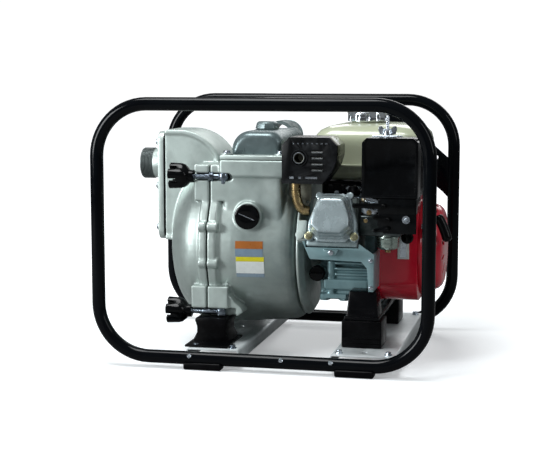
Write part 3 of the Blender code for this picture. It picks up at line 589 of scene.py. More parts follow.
LOOKS = finishes({
    "tube_paint": (enamel, (0.001, 0.0014, 0.0022), (0.002, 0.003, 0.004), 0.12, 0.03, 0.11),
    "galvanised": (metal, (0.62, 0.67, 0.68), (0.74, 0.78, 0.79), (0.38, 0.42, 0.43), 0.38, EVEN,
                   0.00008, 0.45),
    "black_rubber": (moulded, (0.001, 0.001, 0.0013), (0.005, 0.005, 0.006), 0.34, 0.0001, 900.0, 0.08),
    "stand_paint": (enamel, (0.001, 0.0012, 0.0015), (0.002, 0.002, 0.003), 0.26, 0.03, 0.11),
    "cast_aluminium": (casting, (0.4, 0.465, 0.44), (0.54, 0.6, 0.57), (0.13, 0.16, 0.15), 0.44, 0.6),
    "elbow_casting": (casting, (0.115, 0.155, 0.16), (0.19, 0.235, 0.235), (0.04, 0.055, 0.055), 0.33, 0.5),
    "engine_casting": (casting, (0.185, 0.305, 0.325), (0.32, 0.44, 0.46), (0.032, 0.055, 0.06), 0.36,
                       0.5, 0.00015),
    "cover_silver": (casting, (0.39, 0.47, 0.49), (0.54, 0.61, 0.63), (0.11, 0.15, 0.16), 0.26, 0.6,
                     0.00006),
    "black_plastic": (moulded, (0.0007, 0.0009, 0.0012), (0.004, 0.005, 0.006), 0.16, 0.00003, 1200.0,
                      0.16),
    "zinc_hardware": (metal, (0.48, 0.54, 0.6), (0.64, 0.69, 0.74), (0.16, 0.19, 0.22), 0.24),
    "machined_steel": (metal, (0.25, 0.31, 0.28), (0.4, 0.47, 0.42), (0.07, 0.09, 0.08), 0.28, (1, 1, 8)),
    "red_paint": (enamel, (0.58, 0.008, 0.028), (0.36, 0.004, 0.018), 0.2, 0.35, 0.4),
    "cream_paint": (enamel, (0.38, 0.41, 0.29), (0.31, 0.335, 0.235), 0.24, 0.35),
    "exhaust_metal": (metal, (0.3, 0.21, 0.09), (0.5, 0.38, 0.2), (0.07, 0.045, 0.03), 0.28),
    "muffler_steel": (metal, (0.12, 0.12, 0.1), (0.24, 0.24, 0.19), (0.03, 0.03, 0.022), 0.44, EVEN,
                      0.0001),
    "guard_paint": (moulded, (0.0022, 0.0026, 0.003), (0.02, 0.022, 0.024), 0.3, 0.00006, 900.0, 0.22),
    "chrome_plate": (metal, (0.66, 0.7, 0.73), (0.78, 0.81, 0.84), (0.4, 0.43, 0.46), 0.1, EVEN, 0.00001),
    "cast_iron": (casting, (0.05, 0.05, 0.05), (0.1, 0.1, 0.095), (0.02, 0.02, 0.018), 0.55, 0.5, 0.0003),
})
# Painted shade: the drum darkens from its seam, at the first x, to its engine end, at the second.
DRUM_PAINTED_SHADE = ((-0.105, 0.03), (0.225, 0.275, 0.265))
# Finishes that share a slot with one above.
OTHER_LOOKS = finishes({
    "drum_casting_painted_shade": (casting, (0.38, 0.445, 0.42), (0.52, 0.58, 0.55), (0.12, 0.145, 0.14), 0.44, 0.6,
                     0.00022, DRUM_PAINTED_SHADE),
    "pale_casting": (casting, (0.35, 0.41, 0.39), (0.5, 0.56, 0.53), (0.12, 0.145, 0.14), 0.47, 0.55),
    "thread_casting": (casting, (0.085, 0.1, 0.1), (0.2, 0.23, 0.22), (0.02, 0.024, 0.024), 0.42, 0.6),
    "guard_edge_painted_highlight": (moulded, (0.03, 0.034, 0.036), (0.09, 0.1, 0.1), 0.22, 0.00004, 900.0, 0.5),
    "olive_paint": (enamel, (0.115, 0.125, 0.075), (0.075, 0.08, 0.05), 0.3, 0.2, 0.4),
    "shaded_casting": (casting, (0.05, 0.065, 0.062), (0.14, 0.17, 0.165), (0.015, 0.02, 0.02), 0.45, 0.5),
    "rim_casting": (casting, (0.22, 0.29, 0.3), (0.36, 0.44, 0.45), (0.05, 0.07, 0.075), 0.3, 0.6, 0.0001),
    "bolt_steel_painted_dark": (metal, (0.1, 0.12, 0.15), (0.34, 0.4, 0.46), (0.02, 0.022, 0.028), 0.22),
    "yellow_zinc": (metal, (0.46, 0.44, 0.26), (0.62, 0.6, 0.4), (0.16, 0.15, 0.08), 0.28),
    "dark_steel": (metal, (0.035, 0.045, 0.045), (0.12, 0.14, 0.14), (0.008, 0.01, 0.01), 0.34),
})


def label_look(name, colour):
    s = Surface(name, colour, 0.3)
    s.mottled(tuple(0.86 * c for c in colour), 60.0, 0.4, 0.7)
    s.gloss(90.0, 0.05)
    s.bump(500.0, 0.00003, 0.3)
    return s.mat


# ---------------------------------------------------------------- carrying frame
def loop_points(y):
    middle = (LOOP_LOW + LOOP_TOP) / 2
    outline = rounded(LOOP_X, (LOOP_TOP - LOOP_LOW) / 2, CORNER_R, (0, middle), steps=14)
    return [(x, y, z) for x, z in outline]


def make_frame():
    for name, s in (("front_loop", -1), ("rear_loop", 1)):
        piece(name + "_tube", sweep(loop_points(s * LOOP_Y), TUBE_R,
                32, closed=True), "tube_paint", node=name)
    y0, y1 = LOOP_Y - 0.0035, LOOP_Y + 0.0005       # the brace lies across the rear loop's inner side
    outline = [(0.045, 0.4635), (0.15, 0.4635), (0.2925, 0.338), (0.2925, 0.258), (0.27, 0.281)]
    hole = rod((0.2575, y0 - 0.02, 0.349), (0.2575, y1 + 0.02, 0.349), 0.004)
    piece("rear_brace_plate", carved(prism(outline, y0, y1), cut=[hole]),
            "tube_paint", node="rear_brace", bevel=0.0008)
    # The left channel's bolts take the same darkened zinc, which paints in shade and a dark reflection.
    make_channel("left_channel", "bolt_steel_painted_dark")
    make_channel("right_channel", None)
    for side in ("left", "right"):
        for end in ("front", "rear"):
            node = f"{side}_{end}_foot"
            low, high = span(node)
            pad = block(low, high, 0.0035, 3)
            y = -LOOP_Y if end == "front" else LOOP_Y
            groove = rod((low.x - 0.01, y, LOOP_LOW), (high.x + 0.01, y, LOOP_LOW), TUBE_R + GAP, 40)
            piece(node + "_pad", carved(pad, cut=[groove]), "black_rubber", node=node, bevel=0.0004)
    spots = []
    for x in (0.041, -0.123, 0.128):
        spots.append(turned([(0, 0.0042), (0.0012, 0.004), (0.0024, 0.0026), (0.0026, 0)],
                            (x, -LOOP_Y - 0.0102, LOOP_LOW + 0.0052), (0, -0.88, 0.47), 20))
    piece("loop_rivets", joined(*spots), "zinc_hardware")


def make_channel(name, bolt_finish):
    """A folded sheet, open below, with holes in its top and its bolts."""
    low, high = (corner.x for corner in span(name))
    reach = LOOP_Y - TUBE_R - GAP
    thick, fold, top, foot = 0.003, 0.005, 0.034, 0.012
    left, right = (low + fold, top - fold), (high - fold, top - fold)
    outer = [(low, foot), *arc(left, fold, 180, 90, 6), *arc(right, fold, 90, 0, 6), (high, foot)]
    inner = [*arc(right, fold - thick, 0, 90, 6),
            *arc(left, fold - thick, 90, 180, 6), (low + thick, foot)]
    sheet = prism([*outer, (high - thick, foot), *inner], -reach, reach)
    middle = (low + high) / 2
    holes = [rod((middle, y, 0.02), (middle, y, 0.05), 0.006, 24) for y in (-0.185, 0.0, 0.185)]
    piece(name + "_sheet", carved(sheet, cut=holes), "galvanised", node=name, bevel=0.0005)
    spots = [(x, y, top + 0.001) for y in (-0.198, 0.198) for x in (low + 0.014, high - 0.014)]
    heads(name + "_bolts", [(spot, UP, 0.011, 0.005) for spot in spots], bolt_finish)


def make_mounts():
    for end, s in (("front", -1), ("rear", 1)):
        low, high = span(f"left_{end}_mount")
        waist = 0.006
        edge = [(0, low.z + 0.008), (waist, low.z + 0.019), (waist, high.z - 0.016), (0.002, high.z - 0.004),
                (0.004, high.z)]
        side = [(low.x, low.z), (high.x, low.z), *((high.x - inset, z) for inset, z in edge)]
        side += [(low.x + inset, z) for inset, z in reversed(edge)]
        piece(f"left_{end}_mount_block", prism(side, low.y, high.y),
                "black_rubber", node=f"left_{end}_mount", bevel=0.0014)
        base = side_block(s, low.x - 0.006, high.x + 0.008, 0.095, 0.206, 0.0342, 0.0378, 0.001, 2)
        piece(f"left_{end}_mount_base", base, "stand_paint")
        low, high = span(f"right_{end}_mount")
        slab = block(low, high, 0.0025)
        ribs = []
        for z in (low.z + 0.008, low.z + 0.016):
            ribs.append(block((low.x - 0.01, low.y - 0.01, z),
                    (high.x + 0.01, low.y + 0.0012, z + 0.0016)))
            ribs.append(block((low.x - 0.01, high.y - 0.0012, z),
                    (high.x + 0.01, high.y + 0.01, z + 0.0016)))
        piece(f"right_{end}_mount_block", carved(slab, cut=ribs), "black_rubber", node=f"right_{end}_mount",
              bevel=0.0005)
    low, high = span("engine_stand")
    rail = block((low.x, low.y, span("right_front_mount")[1].z + GAP),
            (high.x, high.y, 0.0902), 0.002, 2)
    x0, x1 = low.x + 0.003, high.x - 0.001
    towers = [tapered((x0, -0.148, 0.0845), (x1, -0.095, high.z), 0.005, 0.002),
              tapered((x0, 0.0985, 0.0845), (x1, 0.148, high.z), 0.005, 0.002)]
    panel = [(x0 + 0.009, 0.096), (x1 - 0.009, 0.096),
            (x1 - 0.012, high.z - 0.009), (x0 + 0.012, high.z - 0.009)]
    panels = [prism(panel, y0, y1) for y0, y1 in ((-0.17, -0.1462), (0.1462, 0.17))]
    stand = carved(rail, add=towers, cut=panels)
    piece("engine_stand_frame", stand, "stand_paint", node="engine_stand", bevel=0.0012)


# ---------------------------------------------------------------- pump
BOLT_HIGH = (0.13, centre("upper_front_knob").z)
BOLT_LOW = (0.149, centre("lower_front_knob").z)
PIVOT_X = -0.088                            # of the four swing bolts
NECK_X = (-0.089, 0.02)
NECK_Y = 0.132
ELBOW_X = -0.03                             # the elbow's outlet and its filling spout
SPOUT_Y = -0.03
AXLE_HOLE_R = 0.0125
SEAM_HALF = 0.0012                          # from the middle of the seam to each casting's face
DRUM_R = 0.15
DRUM_TURN_X = -0.07                         # where the drum begins to narrow, and by how much per metre
DRUM_TAPER = 0.0812


def clamp_spots():
    """Each clamp's name and the y and z of its bolt."""
    for end, s in (("front", -1), ("rear", 1)):
        yield f"upper_{end}", s * BOLT_HIGH[0], BOLT_HIGH[1]
        yield f"lower_{end}", s * BOLT_LOW[0], BOLT_LOW[1]


def ears(x_low, x_high, foot):
    """The blocks that the swing bolts clamp, and the small bosses between them."""
    shapes = []
    x0, x1 = max(x_low, -0.128), min(x_high, -0.092)
    for s in (-1, 1):
        shapes.append(side_block(s, x_low, x_high, 0.06, 0.132, 0.287, 0.352))
        shapes.append(side_block(s, x_low, x_high, 0.105, 0.155, foot, 0.135))
        shapes += [rod((x0, s * 0.152, z), (x1, s * 0.152, z), 0.009, 24) for z in (0.177, 0.243)]
    return shapes


def ear_slots():
    """Room for the swing bolts: round-ended slots in the upper ears, and a step under the lower ones."""
    shapes = []
    for s in (-1, 1):
        for x0, x1, end, depth in ((-0.16, -0.083, -0.0835, 0.119), (-0.084, -0.077, -0.077, 0.1262)):
            shapes.append(side_block(s, x0, x1, depth, 0.2, 0.3245, 0.3375))
            y0, y1 = sorted((s * 0.2, s * depth))
            shapes.append(rod((end, y0, 0.331), (end, y1, 0.331), 0.0065, 24))
        shapes.append(side_block(s, -0.16, -0.06, 0.138, 0.2, 0.05, 0.0955))
    return shapes


def make_casing():
    face = SEAM_X + SEAM_HALF
    drum = on_axis(lathe([(face, 0.158), (face + 0.014, 0.158),
            (face + 0.02, DRUM_R), (DRUM_TURN_X, DRUM_R), (0.02, 0.1427),
            (0.028, 0.1412), (0.035, 0.1375), (0.041, 0.131), (0.045, 0.118)], 96))
    neck = block((NECK_X[0], -NECK_Y, 0.2), (NECK_X[1], NECK_Y, 0.34), 0.008)
    flange = block((NECK_X[0] - 0.005, -NECK_Y - 0.004, 0.331),
            (NECK_X[1] + 0.0055, NECK_Y + 0.004, NECK_TOP), 0.003)
    boss = turned([(0, 0.0265), (0.02, 0.0262), (0.024, 0.025)], (PLUG.x, -0.12, PLUG.z), FRONT)
    webs = []
    for y0, y1 in ((-0.15, -0.112), (0.112, 0.15)):
        webs.append(prism([(-0.08, 0.14), (-0.0735, 0.121), (-0.064, 0.1075), (-0.052, 0.0975),
                (-0.0475, 0.089), (-0.058, 0.082), (-0.08, 0.082)], y0, y1))
    cavity = on_axis(lathe([(face - 0.01, 0.142), (DRUM_TURN_X, 0.142), (0.022, 0.1345),
                            (0.037, 0.1265)], 64))
    throat = block((NECK_X[0] + 0.008, -NECK_Y + 0.008, 0.235),
            (NECK_X[1] - 0.008, NECK_Y - 0.008, 0.4))
    cuts = [cavity, throat, rod((0.02, 0, AXIS_Z), (0.06, 0, AXIS_Z), AXLE_HOLE_R),
            rod((PLUG.x, -0.16, PLUG.z), (PLUG.x, -0.105, PLUG.z), 0.0172)]
    casting_body = carved(drum, add=[neck, flange, boss, *ears(face, -0.074, 0.0803), *webs],
                          cut=[*ear_slots(), *cuts])
    # The drum's finish darkens towards the engine end: painted shade.
    piece("pump_casing_body", casting_body, "cast_aluminium", node="pump_casing", cast=0.0017, keep=0.4,
          finish="drum_casting_painted_shade")
    make_labels()


def label(name, x0, x1, z0, z1, colour):
    """A thin sheet that lies on the drum's front."""
    steps, sunk, proud = 10, -0.0005, 0.0006
    sections = []
    for i in range(steps + 1):
        z = z0 + (z1 - z0) * i / steps
        section = []
        for x, height in ((x0, sunk), (x1, sunk), (x1, proud), (x0, proud)):
            radius = DRUM_R - DRUM_TAPER * (x - DRUM_TURN_X) + height
            section.append((x, -math.sqrt(radius ** 2 - (z - AXIS_Z) ** 2), z))
        sections.append(section)
    OTHER_LOOKS[name] = label_look(name, colour)
    piece(name, skinned(sections), "cast_aluminium", finish=name)


def make_labels():
    """Plain fields of colour, the lower three a little to the right of the upper two."""
    x0, x1 = -0.0615, -0.012
    label("label_field_upper", x0, x1, 0.2045, 0.218, (0.36, 0.115, 0.02))
    label("label_field_middle", x0, x1, 0.1905, 0.2043, (0.17, 0.24, 0.31))
    for name, z0, z1, colour in (("yellow", 0.1815, 0.1897, (0.62, 0.56, 0.015)),
                                 ("white", 0.1595, 0.1813, (0.66, 0.7, 0.68)),
                                 ("lower", 0.1525, 0.1593, (0.2, 0.27, 0.33))):
        label("label_field_" + name, x0 + 0.001, x1 + 0.002, z0, z1, colour)


def lobe_outline(inset, left):
    """The suction chamber seen from the front: square to the left, round at the top right."""
    full, top = 0.088, 0.411
    radius = full - inset
    end = SEAM_X - 0.0018
    right = end - inset
    low = 0.205 + inset
    middle = (end + 0.01 - full, top - full)
    start = math.degrees(math.acos((right - middle[0]) / radius))
    return [(left, low), (right, low)] + arc(middle, radius, start, 90, 24) + [(left, top - inset)]


def make_cover():
    face = SEAM_X - SEAM_HALF
    skin = [(-0.127, 0.158), (-0.13, 0.15), (-0.141, 0.1492), (-0.152, 0.1475),
            (-0.161, 0.144), (-0.17, 0.139), (-0.178, 0.133), (-0.186, 0.126),
            (-0.193, 0.118), (-0.2, 0.108), (-0.206, 0.0965), (-0.212, 0.082),
            (-0.2165, 0.067), (-0.22, 0.048), (-0.2228, 0.025), (-0.224, 0)]
    start, depth = -0.13, 0.85             # the dome is flatter than the ball it is drawn from
    skin = [(start + depth * (x - start), radius) for x, radius in skin]
    dome = on_axis(lathe([(face, 0.158), *skin], 96))
    half, wall, lobe_wall = 0.0565, 0.007, 0.0065
    outline = lobe_outline(0, SUCTION_FACE)
    lobe = prism(outline, -half, half)
    rims = []
    for y0, y1 in ((-half - 0.0022, -half + 0.002), (half - 0.002, half + 0.0022)):
        middle = prism(lobe_outline(0.008, -0.24), y0 - 0.01, y1 + 0.01)
        rims.append(carved(prism(outline, y0, y1), cut=[middle]))
    inner_skin = [(x + wall, max(r - wall, 0)) for x, r in skin[2:-1]]
    inside = on_axis(lathe([(face + 0.01, 0.1405), *inner_skin, (skin[-1][0] + wall, 0)], 64))
    chamber = prism(lobe_outline(lobe_wall, -0.25), -half + lobe_wall, half - lobe_wall)
    flat = block((-0.26, -0.075, 0.2045), (SUCTION_FACE, 0.075, 0.45))
    body = carved(dome, add=[lobe, *rims, *ears(-0.142, face, 0.088)],
            cut=[inside, chamber, flat, *ear_slots()])
    piece("pump_cover_body", body, "cast_aluminium", node="pump_cover", cast=0.0017, keep=0.42)


def plate_outline(half_w, half_h, corner):
    return rounded(half_w, half_h, corner, (0, 0.306))


def thread(x, pitch, count, root, crest):
    """The ridges of a pipe thread, each with a flat top."""
    points = []
    for i in range(count):
        start = x + pitch * i
        points += [(start, root), (start + crest[0], crest[2]),
                (start + crest[1], crest[2]), (start + 0.0026, root)]
    return points


def make_suction():
    outer = SUCTION_FACE - 0.0138
    plate = prism(plate_outline(0.0565, 0.101, 0.018), outer, SUCTION_FACE - 0.0033, axis="X")
    start = (SUCTION_FACE - 0.011, 0, PORT_Z)
    neck = turned([(0, 0.03), (0.0035, 0.0282), (0.008, 0.0275), (0.024, 0.0275)], start, LEFT, 64)
    ridges = [(0.0241, 0.0255), (0.0241, 0.0281), *thread(0.025, 0.0027, 8, 0.0281,
            (0.001, 0.0016, 0.02925)), (0.0472, 0.0281), (0.048, 0.0276), (0.048, 0.0255)]
    piece("suction_port_thread", turned(ridges, start, LEFT, 64, closed=True), "cast_aluminium", angle=40,
          finish="thread_casting")
    spots = [(y, z) for y in (-0.044, 0.044) for z in (0.228, 0.306, 0.388)]
    bosses = [turned([(0, 0.0105), (0.0028, 0.01)], (outer + 0.0005, y, z), LEFT, 24) for y, z in spots]
    bore = rod((-0.3, 0, PORT_Z), (-0.21, 0, PORT_Z), 0.0255, 64)
    piece("suction_flange_body", carved(plate, add=[neck, *bosses], cut=[bore]), "cast_aluminium",
          node="suction_flange", bevel=0.0006, angle=40)
    heads("suction_flange_bolts", [((outer - 0.0026, y, z), LEFT, 0.0115, 0.004) for y, z in spots])
    window = block((-0.25, -0.049, 0.213), (-0.2, 0.049, 0.399), 0.006)
    gasket = prism(plate_outline(0.0572, 0.1017, 0.0185),
            SUCTION_FACE - 0.003, SUCTION_FACE - GAP, axis="X")
    piece("suction_gasket_sheet", carved(gasket, cut=[window]),
            "black_rubber", node="suction_gasket", bevel=0.0002)


def make_clamps():
    for name, y, z in clamp_spots():
        threads = [(0, 0), (0, 0.005)]
        start = 0.034
        for i in range(30):
            x = start + 0.0016 * i
            threads += [(x, 0.005), (x + 0.0004, 0.0044), (x + 0.0012, 0.0044)]
        threads += [(0.0835, 0.0048), (0.084, 0.004), (0.084, 0)]
        shank = turned(threads, (PIVOT_X, y, z), LEFT, 20)
        eye = rod((PIVOT_X, y, z - 0.0057), (PIVOT_X, y, z + 0.0057), 0.0088)
        low = z - 0.0125 if z > AXIS_Z else z
        pin = rod((PIVOT_X, y, low), (PIVOT_X, y, z + 0.0125), 0.004, 20)
        nut = turned([(0, 0.0086), (0.0012, 0.0098), (0.0078, 0.0098), (0.009, 0.0086)],
                     (-0.105, y, z), LEFT, 6)
        bolt = joined(shank, eye, pin, nut) if z > AXIS_Z else joined(shank, eye, pin)
        # The bolts' finish is a darkened copy of the zinc: painted shade from the slots and a painted dark
        # reflection.
        piece(f"{name}_bolt_body", bolt, "zinc_hardware", f"{name}_bolt", f"{name}_swing_bolt", bevel=0.0003,
              finish="bolt_steel_painted_dark")
        make_knob(name, y, z)


def make_knob(name, y, z):
    """A crown knob: a faceted barrel whose far end is cut into five fingers."""
    profile = ((-0.1428, 0.0112, 0.0), (-0.15, 0.0116, 0.0), (-0.1525, 0.015, 0.03), (-0.158, 0.0205, 0.07),
                (-0.164, 0.0222, 0.09), (-0.185, 0.0232, 0.1), (-0.186, 0.0222, 0.1))
    sections = []
    for x, radius, wave in profile:
        section = []
        for i in range(60):
            angle = 2 * math.pi * i / 60
            reach = radius * (1 + wave * (math.cos(5 * angle) - 0.25) * 0.8)
            section.append((x, reach * math.cos(angle), reach * math.sin(angle)))
        sections.append(section)
    cuts = [rod((-0.13, 0, 0), (-0.176, 0, 0), 0.0056, 20),
            rod((-0.1735, 0, 0), (-0.19, 0, 0), 0.0125, 30)]
    for i in range(5):
        notch = prism([(0.006, -0.0022), (0.03, -0.0058),
                (0.03, 0.0058), (0.006, 0.0022)], -0.192, -0.172, "X")
        spin = 2 * math.pi * (i + 0.5) / 5
        cuts.append(moved(notch, Matrix.Rotation(spin, 4, "X")))
        groove = rod((-0.158, 0.0245, 0), (-0.19, 0.0245, 0), 0.0045, 16)
        cuts.append(moved(groove, Matrix.Rotation(spin, 4, "X")))
    crown = moved(carved(skinned(sections), cut=cuts),
            Matrix.Translation((0, y, z)) @ Matrix.Rotation(0.35, 4, "X"))
    piece(f"{name}_knob_crown", crown, "black_plastic", f"{name}_knob", f"{name}_knob", bevel=0.0008)


def hood_outline(inset, shrink):
    """Cross-section of the elbow's hood; shrink draws in all but the floor."""
    floor = NECK_TOP - 0.01 if inset else NECK_TOP + 0.004
    left = -0.082 + inset + shrink
    right = 0.014 - inset - shrink
    top = 0.412 - inset - shrink
    points = [(right, floor)]
    points += arc((right - 0.024, top - 0.024), 0.024, 0, 90, 10)
    points += arc((left + 0.034, top - 0.034), 0.034, 90, 180, 12)
    points.append((left, floor))
    return points


def hood_shell(inset, front, back, nose=0.022):
    """The hood's shape, with a rounded nose in front."""
    steps = 10
    sections = []
    for i in range(steps + 1):
        angle = math.radians(90 * i / steps)
        sections.append((front + nose * (1 - math.sin(angle)), 0.5 * nose * (1 - math.cos(angle))))
    rings = [*reversed(sections), (back, 0)]
    return skinned([[(x, y, z) for x, z in hood_outline(inset, shrink)] for y, shrink in rings])


def make_discharge():
    low = NECK_TOP + GAP
    plate = block((NECK_X[0] - 0.005, -NECK_Y - 0.003, low),
            (NECK_X[1] + 0.0055, NECK_Y + 0.003, low + 0.008), 0.002)
    hood = hood_shell(0, -0.105, 0.095)
    ridges = [(0, 0.031), (0.058, 0.031), (0.06, 0.0284), *thread(0.061, 0.0028, 10, 0.0284,
            (0.0011, 0.0017, 0.02975)), (0.0905, 0.0284), (0.092, 0.0276)]
    port = turned(ridges, (ELBOW_X, 0.07, OUTLET_Z), (0, 1, 0), 64)
    spots = [(x, y) for x in (-0.084, 0.0145) for y in (-0.118, 0.118)]
    lugs = [rod((x, y, low + 0.002), (x, y, low + 0.0105), 0.0105) for x, y in spots]
    spout = rod((ELBOW_X, SPOUT_Y, 0.402), (ELBOW_X, SPOUT_Y, 0.413), 0.021, 40)
    inner = hood_shell(0.006, -0.099, 0.089, 0.018)
    bore = rod((ELBOW_X, 0.05, OUTLET_Z), (ELBOW_X, 0.18, OUTLET_Z), 0.0245, 64)
    opening = bore.copy()
    hole = rod((ELBOW_X, SPOUT_Y, 0.39), (ELBOW_X, SPOUT_Y, 0.42), 0.016, 40)
    well = prism(hood_outline(0.006, 0), -0.099, 0.089)
    piece("discharge_elbow_hood", carved(hood, add=[spout], cut=[inner, hole, opening]), "elbow_casting",
          node="discharge_elbow", cast=0.0015, keep=0.42)
    piece("discharge_elbow_plate", carved(plate, add=lugs, cut=[well]),
            "elbow_casting", bevel=0.0008, finish="pale_casting")
    piece("discharge_port_thread", carved(port, cut=[bore]), "elbow_casting", angle=40)
    heads("discharge_elbow_bolts", [((x, y, low + 0.0105), UP, 0.013, 0.0055) for x, y in spots])
    cap = turned([(0, 0.0155), (0.013, 0.0155), (0.0132, 0.0225), (0.015, 0.0225), (0.024, 0.02),
                  (0.0265, 0.0165), (0.027, 0.015)], (ELBOW_X, SPOUT_Y, 0.4003), UP, 8)
    piece("fill_cap_head", cap, "elbow_casting", "fill_cap", "fill_cap", bevel=0.0009)


def make_plug():
    plug = turned([(0, 0.0165), (0.0098, 0.0165), (0.01, 0.0222), (0.0108, 0.0228), (0.015, 0.0228),
                   (0.0172, 0.0214), (0.018, 0.019)], (PLUG.x, -0.1345, PLUG.z), FRONT, 64)
    turn = Matrix.Rotation(math.radians(22), 4, "Y")
    slot = shifted(moved(block((-0.016, -0.004, -0.0013),
            (0.016, 0.01, 0.0013)), turn), PLUG.x, -0.154, PLUG.z)
    bar = shifted(moved(block((-0.0155, -0.0005, -0.0006),
            (0.0155, 0.0006, 0.0006)), turn), PLUG.x, -0.1518, PLUG.z)
    piece("casing_plug_body", carved(plug, cut=[slot]), "black_plastic",
            "casing_plug", "casing_plug", bevel=0.0004)
    piece("casing_plug_slot_face", bar, "zinc_hardware", "casing_plug")


# ---------------------------------------------------------------- engine
TILT = math.radians(68)                     # the cylinder leans towards the front
CYLINDER_X = 0.118
CAP_X, CAP_Y = 0.147, 0.04                  # fuel cap
OUTLET_X, OUTLET_HIGH = 0.058, 0.369        # exhaust outlet
WING_X, WING_Y = 0.206, -0.118              # wing nut on the air cleaner
COVER_BOLTS_X, COVER_BOLTS_Y = (0.077, 0.157), -0.0325


def cyl(bm):
    """Put a shape drawn along z from the shaft on the leaning cylinder."""
    return moved(bm, Matrix.Translation((0, 0, AXIS_Z)) @ Matrix.Rotation(TILT, 4, "X"))


def make_crankcase():
    profile = [(0.0453, 0), (0.0453, 0.132), (0.049, 0.133), (0.0515, 0.13), (0.054, 0.125), (0.058, 0.119),
               (0.058, 0.062), (0.0795, 0.056), (0.0795, 0)]
    disc = on_axis(lathe(profile, 72))
    piece("pump_adapter_ring", carved(disc, cut=[rod((0.03, 0, AXIS_Z), (0.09, 0, AXIS_Z), AXLE_HOLE_R)]),
          "cast_aluminium", node="pump_adapter", bevel=0.0012)
    spot = joint_spot("oil_filler")
    barrel = on_axis(lathe([(0.0798, 0.076), (0.084, 0.08), (0.18, 0.08), (0.184, 0.076)], 64))
    sump = block((0.081, -0.085, 0.108), (0.183, 0.095, 0.165), 0.004)
    deck = cyl(block((0.084, -0.045, 0.0), (0.16, 0.045, 0.085), 0.003))
    ribs = [block((0.11, -0.0905, z), (0.172, -0.065, z + 0.0042)) for z in (0.153, 0.163, 0.173)]
    ribs.append(block((0.088, -0.0925, 0.127), (0.17, -0.07, 0.1465), 0.003))
    ribs.append(rod((0.1015, -0.083, 0.112), (0.1015, -0.083, 0.179), 0.0085))
    ribs.append(block((0.084, -0.0915, 0.111), (0.13, -0.05, 0.119)))
    ribs.append(rod((0.089, -0.082, 0.1065), (0.089, -0.082, 0.119), 0.009))
    ribs.append(rod((0.125, -0.082, 0.1065), (0.125, -0.082, 0.119), 0.009))
    ribs.append(block((0.138, -0.08, 0.0905), (0.182, 0.09, 0.112)))
    ribs.append(rod((spot.x, -0.085, spot.z), (spot.x, -0.065, spot.z), 0.0138))
    posts = [block((x, 0.01, 0.24), (x + 0.014, 0.01 + 0.03, 0.3217)) for x in (0.09, 0.16)]
    room = on_axis(lathe([(0.09, 0.068), (0.174, 0.068)], 40))
    bore = cyl(rod((CYLINDER_X, 0, 0.02), (CYLINDER_X, 0, 0.1), 0.034))
    through = rod((0.07, 0, AXIS_Z), (0.2, 0, AXIS_Z), AXLE_HOLE_R)
    filler = rod((spot.x, -0.1, spot.z), (spot.x, -0.0685, spot.z), 0.0102)
    body = carved(barrel, add=[sump, deck, *ribs, *posts], cut=[room, bore, through, filler])
    piece("crankcase_body", body, "engine_casting", node="crankcase", cast=0.0015, keep=0.36, soften=3)
    cap = turned([(0, 0.0095), (0.016, 0.0095), (0.016, 0.014), (0.0185, 0.0145),
            (0.0265, 0.014), (0.028, 0.0125)], spot, FRONT, 40)
    grip = block((spot.x - 0.012, -0.105, spot.z - 0.0025),
            (spot.x + 0.012, -0.095, spot.z + 0.0025), 0.001)
    piece("oil_filler_cap", carved(cap, add=[grip]), "black_plastic",
            "oil_filler", "oil_filler", bevel=0.0005)


def make_top_end():
    """Finned barrel in shade, with the head's rim and its side lobe in front."""
    low = 0.0853
    core = cyl(block((0.08, -0.042, low), (0.155, 0.042, 0.157)))
    fins = []
    for i in range(8):
        level = low + 0.003 + 0.0087 * i
        inset = 0.0012 * max(0, i - 3)
        fins.append(cyl(block((0.0715 + inset, -0.05 + inset, level),
                (0.163 - inset, 0.05 - inset, level + 0.0028), 0.001, 1)))
    bore = cyl(rod((CYLINDER_X, 0, 0.07), (CYLINDER_X, 0, 0.152), 0.034))
    piece("cylinder_barrel_fins", carved(core, add=fins, cut=[bore]), "engine_casting", node="cylinder_head",
          bevel=0.0005, finish="shaded_casting")
    rim = cyl(prism(cover_outline(1.0, 0.0052), 0.1573, 0.168, axis="Z"))
    foot = cyl(block((0.072, -0.048, 0.1573), (0.1625, -0.02, 0.167), 0.003))
    piece("cylinder_head_rim", carved(rim, add=[foot]),
            "engine_casting", bevel=0.001, finish="rim_casting")
    lobe = cyl(block((0.054, -0.04, 0.1515), (0.0712, -0.002, 0.168), 0.003))
    cheek = cyl(rod((0.06, -0.03, 0.16), (0.06, -0.03, 0.1715), 0.0075))
    piece("cylinder_head_lobe", carved(lobe, add=[cheek]),
            "engine_casting", bevel=0.0008, finish="pale_casting")
    make_valve_cover()
    make_shroud()


COVER_HALF = [(0.013, 0.0405), (0.0225, 0.0385), (0.0262, 0.033), (0.0375, -0.005), (0.0388, -0.014),
              (0.0387, -0.0237), (0.0226, -0.0382), (0.012, -0.0385)]


def cover_outline(scale, grow=0.0):
    """Valve cover seen end on; grow widens it by a fixed amount all round."""
    middle = 0.117
    right = []
    for x, y in COVER_HALF:
        length = math.hypot(x, y)
        factor = scale + grow / length
        right.append((middle + x * factor, y * factor + 0.001))
    return right + [(2 * middle - x, y) for x, y in reversed(right)]


